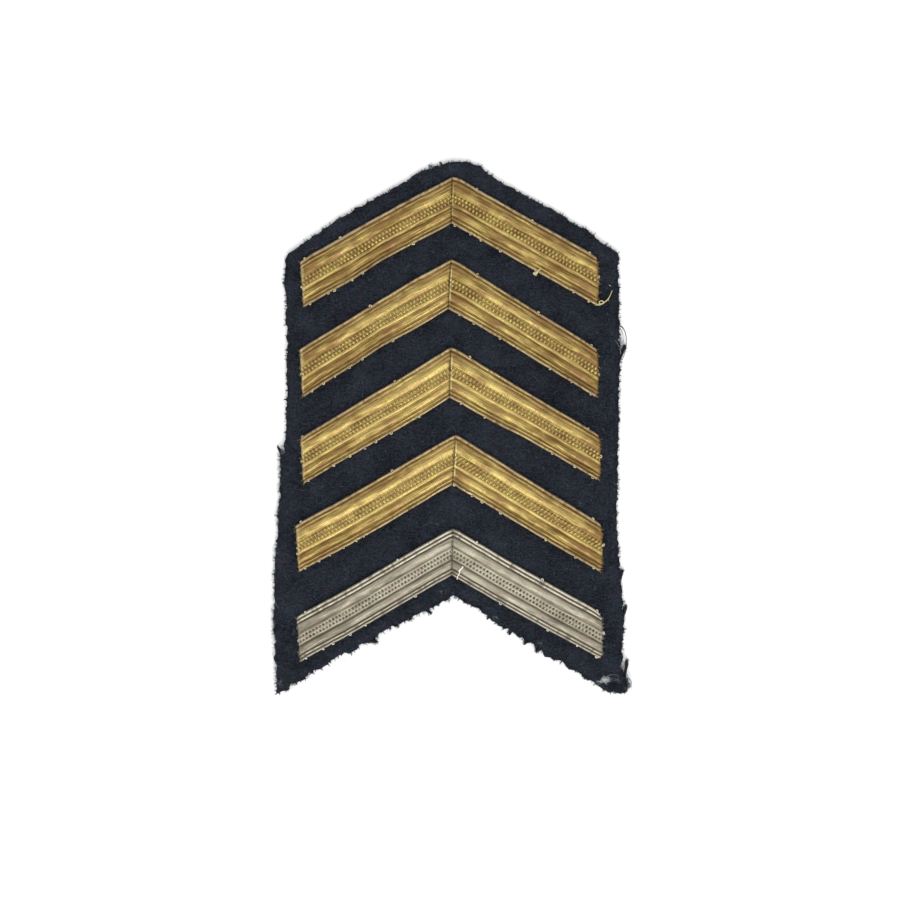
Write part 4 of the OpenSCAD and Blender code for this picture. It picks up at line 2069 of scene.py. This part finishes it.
@dataclass
class Tacking(StrandWork):
    """The small stitches that hold the laces down, and the thread's loose ends.

    Attributes:
        radius: Radius of the thread.
        reach: Radius of the turn that the thread takes round the lace's edge.
        rings: Points on each stitch.
        long_stitches: Ends and radius in millimetres of each thread of the long stitch.
        tail: Places in millimetres that the loose tail runs through.
        tail_eye: Middle of the small ring that the tail starts from.
        knot_ends: Where the thick thread on the top lace starts and ends.
        speck: Where a speck of thread lies near the tail.
    """

    name: str = "tacking_thread"
    seed: int = 61
    finish: StrandFinish = SEWING_THREAD
    slot: Slot = Slot.PALE_THREAD
    sides: int = 6
    taper: float = 0.85
    radius: float = 0.09 * MM
    reach: float = 0.155 * MM
    rings: int = 12
    long_stitches: ClassVar[tuple[tuple[Places, float], ...]] = (
        (((1.62, -21.05, 2.5), (1.05, -21.85, 2.5)), 0.14),
        (((1.2, -21.6, 2.5), (0.78, -23.0, 2.25)), 0.09),
    )
    tail: ClassVar[Places] = (
        (21.6, 18.5, 2.05), (22.3, 18.5, 2.0), (22.9, 18.75, 1.95), (23.35, 19.05, 1.9), (23.7, 19.5, 1.85),
        (23.95, 20.0, 1.8), (24.2, 20.6, 1.85),
    )
    tail_eye: ClassVar[Point] = (22.55, 18.8, 2.05)
    knot_ends: ClassVar[Places] = ((13.4, 23.9, 2.5), (12.65, 23.25, 2.05))
    speck: ClassVar[Point] = (23.95, 21.35, 1.8)

    def lay(self) -> None:
        """Lays the stitches of every lace, the long stitch and the loose ends."""
        for lace in self.laces:
            self.tack(lace)
        self.long_stitch()
        self.loose()

    def tack(self, lace: LaceChevron) -> None:
        """Lays the stitches of one lace.

        Args:
            lace: The lace.
        """
        rng, tacks = self.rng, lace.tacks
        spots, outs = [], []
        for side, across, up in ((tacks.upper, 0.0, 1.0), (tacks.lower, 1.0, -1.0)):
            x = np.array(side) * MM
            spots.append(lace.place(x, np.full(len(x), across)))
            outs.append(np.column_stack([lace.by_arm(x, (-0.5, 0.5)) * up, np.full(len(x), up)]))
        for side, x, out in ((tacks.left_end, lace.left, -1.0), (tacks.right_end, lace.right, 1.0)):
            n = len(side)
            spots.append(lace.place(np.full(n, x), np.array(side)))
            outs.append(np.column_stack([np.full(n, out), rng.normal(0, 0.2, n)]))
        spot, out = np.concatenate(spots), np.concatenate(outs)
        n = len(spot)
        heading = np.arctan2(out[:, 1], out[:, 0]) + rng.normal(0, 0.4, n)
        share = np.linspace(0, 1, self.rings)[None, :]
        turn = heading[:, None] + rng.choice((-1, 1), n)[:, None] * (5.5 * share - 2.2)
        reach = self.reach * rng.uniform(0.6, 1.2, (n, 1)) * (1.4 - 1.1 * share)
        middle = spot - 0.05 * MM * np.column_stack([np.cos(heading), np.sin(heading)])
        x = middle[:, 0, None] + reach * np.cos(turn)
        y = middle[:, 1, None] + reach * np.sin(turn)
        outwards = np.cos(turn - heading[:, None])
        z = lace.base + (0.56 - 0.2 * outwards + 0.06 * share) * MM
        tint = np.clip(tacks.tint + rng.normal(0, 0.12, n), 0, 1)
        self.strands.lay(np.stack([x, y, z], axis=-1), self.radius * rng.uniform(0.6, 1.2, n), tint)

    def long_stitch(self) -> None:
        """Lays the long stitch, beside the mitre of the silver lace."""
        share = np.linspace(0, 1, 9)
        for ends, radius in self.long_stitches:
            start, end = np.array(ends) * MM
            path = start + share[:, None] * (end - start)
            path[:, 0] += 0.06 * MM * np.sin(2 * math.pi * share)
            path[:, 2] += 0.1 * MM * np.sin(math.pi * share)
            self.strands.lay(path[None], radius * MM, 1.0)

    def loose(self) -> None:
        """Lays the unravelled tail at the right end of the top lace and the knot on its lower edge."""
        share = np.linspace(0, 1, 24)
        middle = follow(share, np.linspace(0, 1, len(self.tail)), np.array(self.tail) * MM)
        for ply in range(3):
            turn = 2 * math.pi * (4.5 * share + ply / 3)
            loose = (0.11 + 0.04 * np.sin(13 * share + 2 * ply)) * (1.12 - share) ** 1.5 * MM
            twist = np.column_stack([np.cos(turn), np.sin(turn), 0.6 * np.sin(turn + 1)]) * loose[:, None]
            self.strands.lay((middle + twist)[None], 0.05 * MM, 0.02 + 0.06 * ply)
        turn = np.linspace(0, 2 * math.pi, 16)
        ring = np.column_stack([0.33 * np.cos(turn), 0.24 * np.sin(turn), 0.08 * np.sin(turn + 1)])
        self.strands.lay(((np.array(self.tail_eye) + ring) * MM)[None], 0.085 * MM, 0.05)
        start, end = np.array(self.knot_ends) * MM
        path = start + np.linspace(0, 1, 8)[:, None] * (end - start)
        self.knob(middle[13], 4, 0.3, 0.045)
        self.strands.lay(path[None], 0.1 * MM, 0.15)
        self.knob(end, 18, 0.36, 0.085)
        self.knob(np.array(self.speck) * MM, 2, 0.15, 0.05)

    def knob(self, place: Array, count: int, length: float, radius: float) -> None:
        """Lays a small knob of curled thread.

        Args:
            place: Its middle.
            count: Its curls.
            length: Length of a curl in millimetres.
            radius: Radius of the thread in millimetres.
        """
        rng = self.rng
        root = place + rng.normal(0, 0.35 * length * MM, (count, 3)) * (1, 1, 0.5)
        heading, turn = rng.uniform(0, 2 * math.pi, count), rng.uniform(3, 5, count)
        curls = curved(root, heading, np.full(count, length * MM), 7, turn, rng.uniform(-0.3, 0.5, count))
        self.strands.lay(curls, radius * MM, rng.uniform(0.0, 0.35, count))


@dataclass
class FrayedWire(StrandWork):
    """The loose ends of wire where a lace was cut and turned under.

    Attributes:
        tints: Darkest and palest tint of the wire.
        per_end: Wires at each end.
        radius: Radius of a wire.
    """

    name: str = "frayed_gold_lace"
    seed: int = 71
    finish: StrandFinish = LOOSE_WIRE
    slot: Slot = Slot.GOLD_LACE
    tints: Pair = (0.0, 0.5)
    per_end: int = 26
    radius: float = 0.028 * MM

    def lay(self) -> None:
        """Lays the loose wire at both ends of every lace."""
        n, rng = self.per_end, self.rng
        for lace in self.laces:
            for end, out in ((lace.left, -1.0), (lace.right, 1.0)):
                across = np.clip(rng.beta(0.6, 0.6, n), 0.01, 0.99)
                spot = lace.place(np.full(n, end), across)
                spot[:, 0] -= out * rng.uniform(0.02, 0.15, n) * MM
                root = np.column_stack([spot, lace.base + rng.uniform(0.1, 0.62, n) * MM])
                heading = math.pi * (out < 0) + rng.normal(0, 0.8, n)
                length = rng.uniform(0.15, 0.5, n) * MM
                paths = curved(root, heading, length, 4, rng.normal(0, 0.9, n), rng.uniform(-0.5, 0.2, n))
                self.strands.lay(paths, self.radius * rng.uniform(0.7, 1.3, n), rng.uniform(*self.tints, n))


@dataclass(frozen=True)
class Lamp:
    """A square soft light.

    Attributes:
        name: Its name.
        place: Where it hangs.
        side: Width of its panel.
        radiance: How bright the panel looks.
        tint: Its colour.
    """

    name: str
    place: Point
    side: float
    radiance: float
    tint: Colour = (1, 1, 1)

    def hang(self) -> None:
        """Adds the light, turned towards the origin."""
        light = bpy.data.lights.new(self.name, "AREA")
        light.shape = "SQUARE"
        light.size = self.side
        light.energy = self.radiance * math.pi * self.side**2
        light.color = self.tint
        lamp = stand(self.name, light)
        lamp.location = self.place
        lamp.rotation_euler = Vector(self.place).to_track_quat("Z", "Y").to_euler()


@dataclass(frozen=True)
class Studio:
    """A plain white floor, soft light and the camera straight above the patch.

    Attributes:
        frame_width: What the camera takes in across the patch.
        aim: The point that it looks at.
        lens: Its focal length in millimetres.
        sensor: Its sensor's width in millimetres.
        sky: Brightness of the surroundings.
        floor_colour: Colour of the floor.
        lamps: The lights.
    """

    frame_width: float = 136.1 * MM
    aim: Point = (-0.3 * MM, -3.48 * MM, 1.5 * MM)
    lens: float = 85
    sensor: float = 36
    sky: float = 0.95
    floor_colour: Colour = (0.96, 0.96, 0.96)
    lamps: tuple[Lamp, ...] = (Lamp("foot_side", (0.04, -0.36, 0.66), 0.55, 3.6),)

    def build(self) -> None:
        """Makes the floor, the lights and the camera."""
        self.floor()
        for lamp in self.lamps:
            lamp.hang()
        world = bpy.data.worlds.new("pale_room")
        world.use_nodes = True
        background = world.node_tree.nodes["Background"]
        background.inputs["Color"].default_value = (1, 1, 1, 1)
        background.inputs["Strength"].default_value = self.sky
        bpy.context.scene.world = world
        bpy.context.scene.view_settings.view_transform = "Standard"
        camera = bpy.data.cameras.new("camera")
        camera.lens = self.lens
        camera.sensor_width = self.sensor
        camera.clip_start = 10 * MM
        holder = stand("camera", camera)
        holder.location = Vector(self.aim) + Vector((0, 0, self.frame_width * self.lens / self.sensor))
        bpy.context.scene.camera = holder

    def floor(self) -> None:
        """Makes the floor."""
        bm = bmesh.new()
        bmesh.ops.create_grid(bm, x_segments=1, y_segments=1, size=2.0)
        mesh = settle(bm, "floor")
        mesh.materials.append(Graph("white_floor").finish(Base_Color=self.floor_colour, Roughness=0.9))
        stand("floor", mesh)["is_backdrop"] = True


@dataclass
class ServiceChevron:
    """The whole patch: its cloth, its five laces and its threads and fibres.

    Attributes:
        cloth: The cloth.
        laces: The laces, from the top one down.
    """

    cloth: BackingCloth = field(default_factory=BackingCloth)
    laces: tuple[LaceChevron, ...] = (*GOLD_LACES, SILVER_CHEVRON)

    def build(self, nodes: Nodes) -> list[Piece]:
        """Makes every piece.

        Args:
            nodes: The frame's nodes.

        Returns:
            The pieces.
        """
        self.cloth.read(nodes)
        for lace in self.laces:
            lace.read(nodes)
        cloth, laces = self.cloth, self.laces
        silver = FrayedWire(cloth, laces[-1:], "frayed_silver_lace", slot=Slot.SILVER_LACE, tints=(0.6, 1.0))
        works = (
            Tacking(cloth, laces),
            FrayedWire(cloth, laces[:-1]),
            silver,
            *(work(cloth, laces) for work in (Nap, Fringe, Fluff, MattedCorners)),
        )
        return [part.build() for part in (cloth, *laces, *works)]


def main() -> Box:
    """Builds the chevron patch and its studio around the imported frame.

    Returns:
        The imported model's box.
    """
    logging.basicConfig(level=logging.INFO, format="%(name)s: %(message)s")
    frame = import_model()
    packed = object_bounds()
    Studio().build()
    for piece in ServiceChevron().build(frame["nodes"]):
        log.info("%s is in place", piece.name)
    return packed


if __name__ == "__main__":
    CAD_BOX = main()
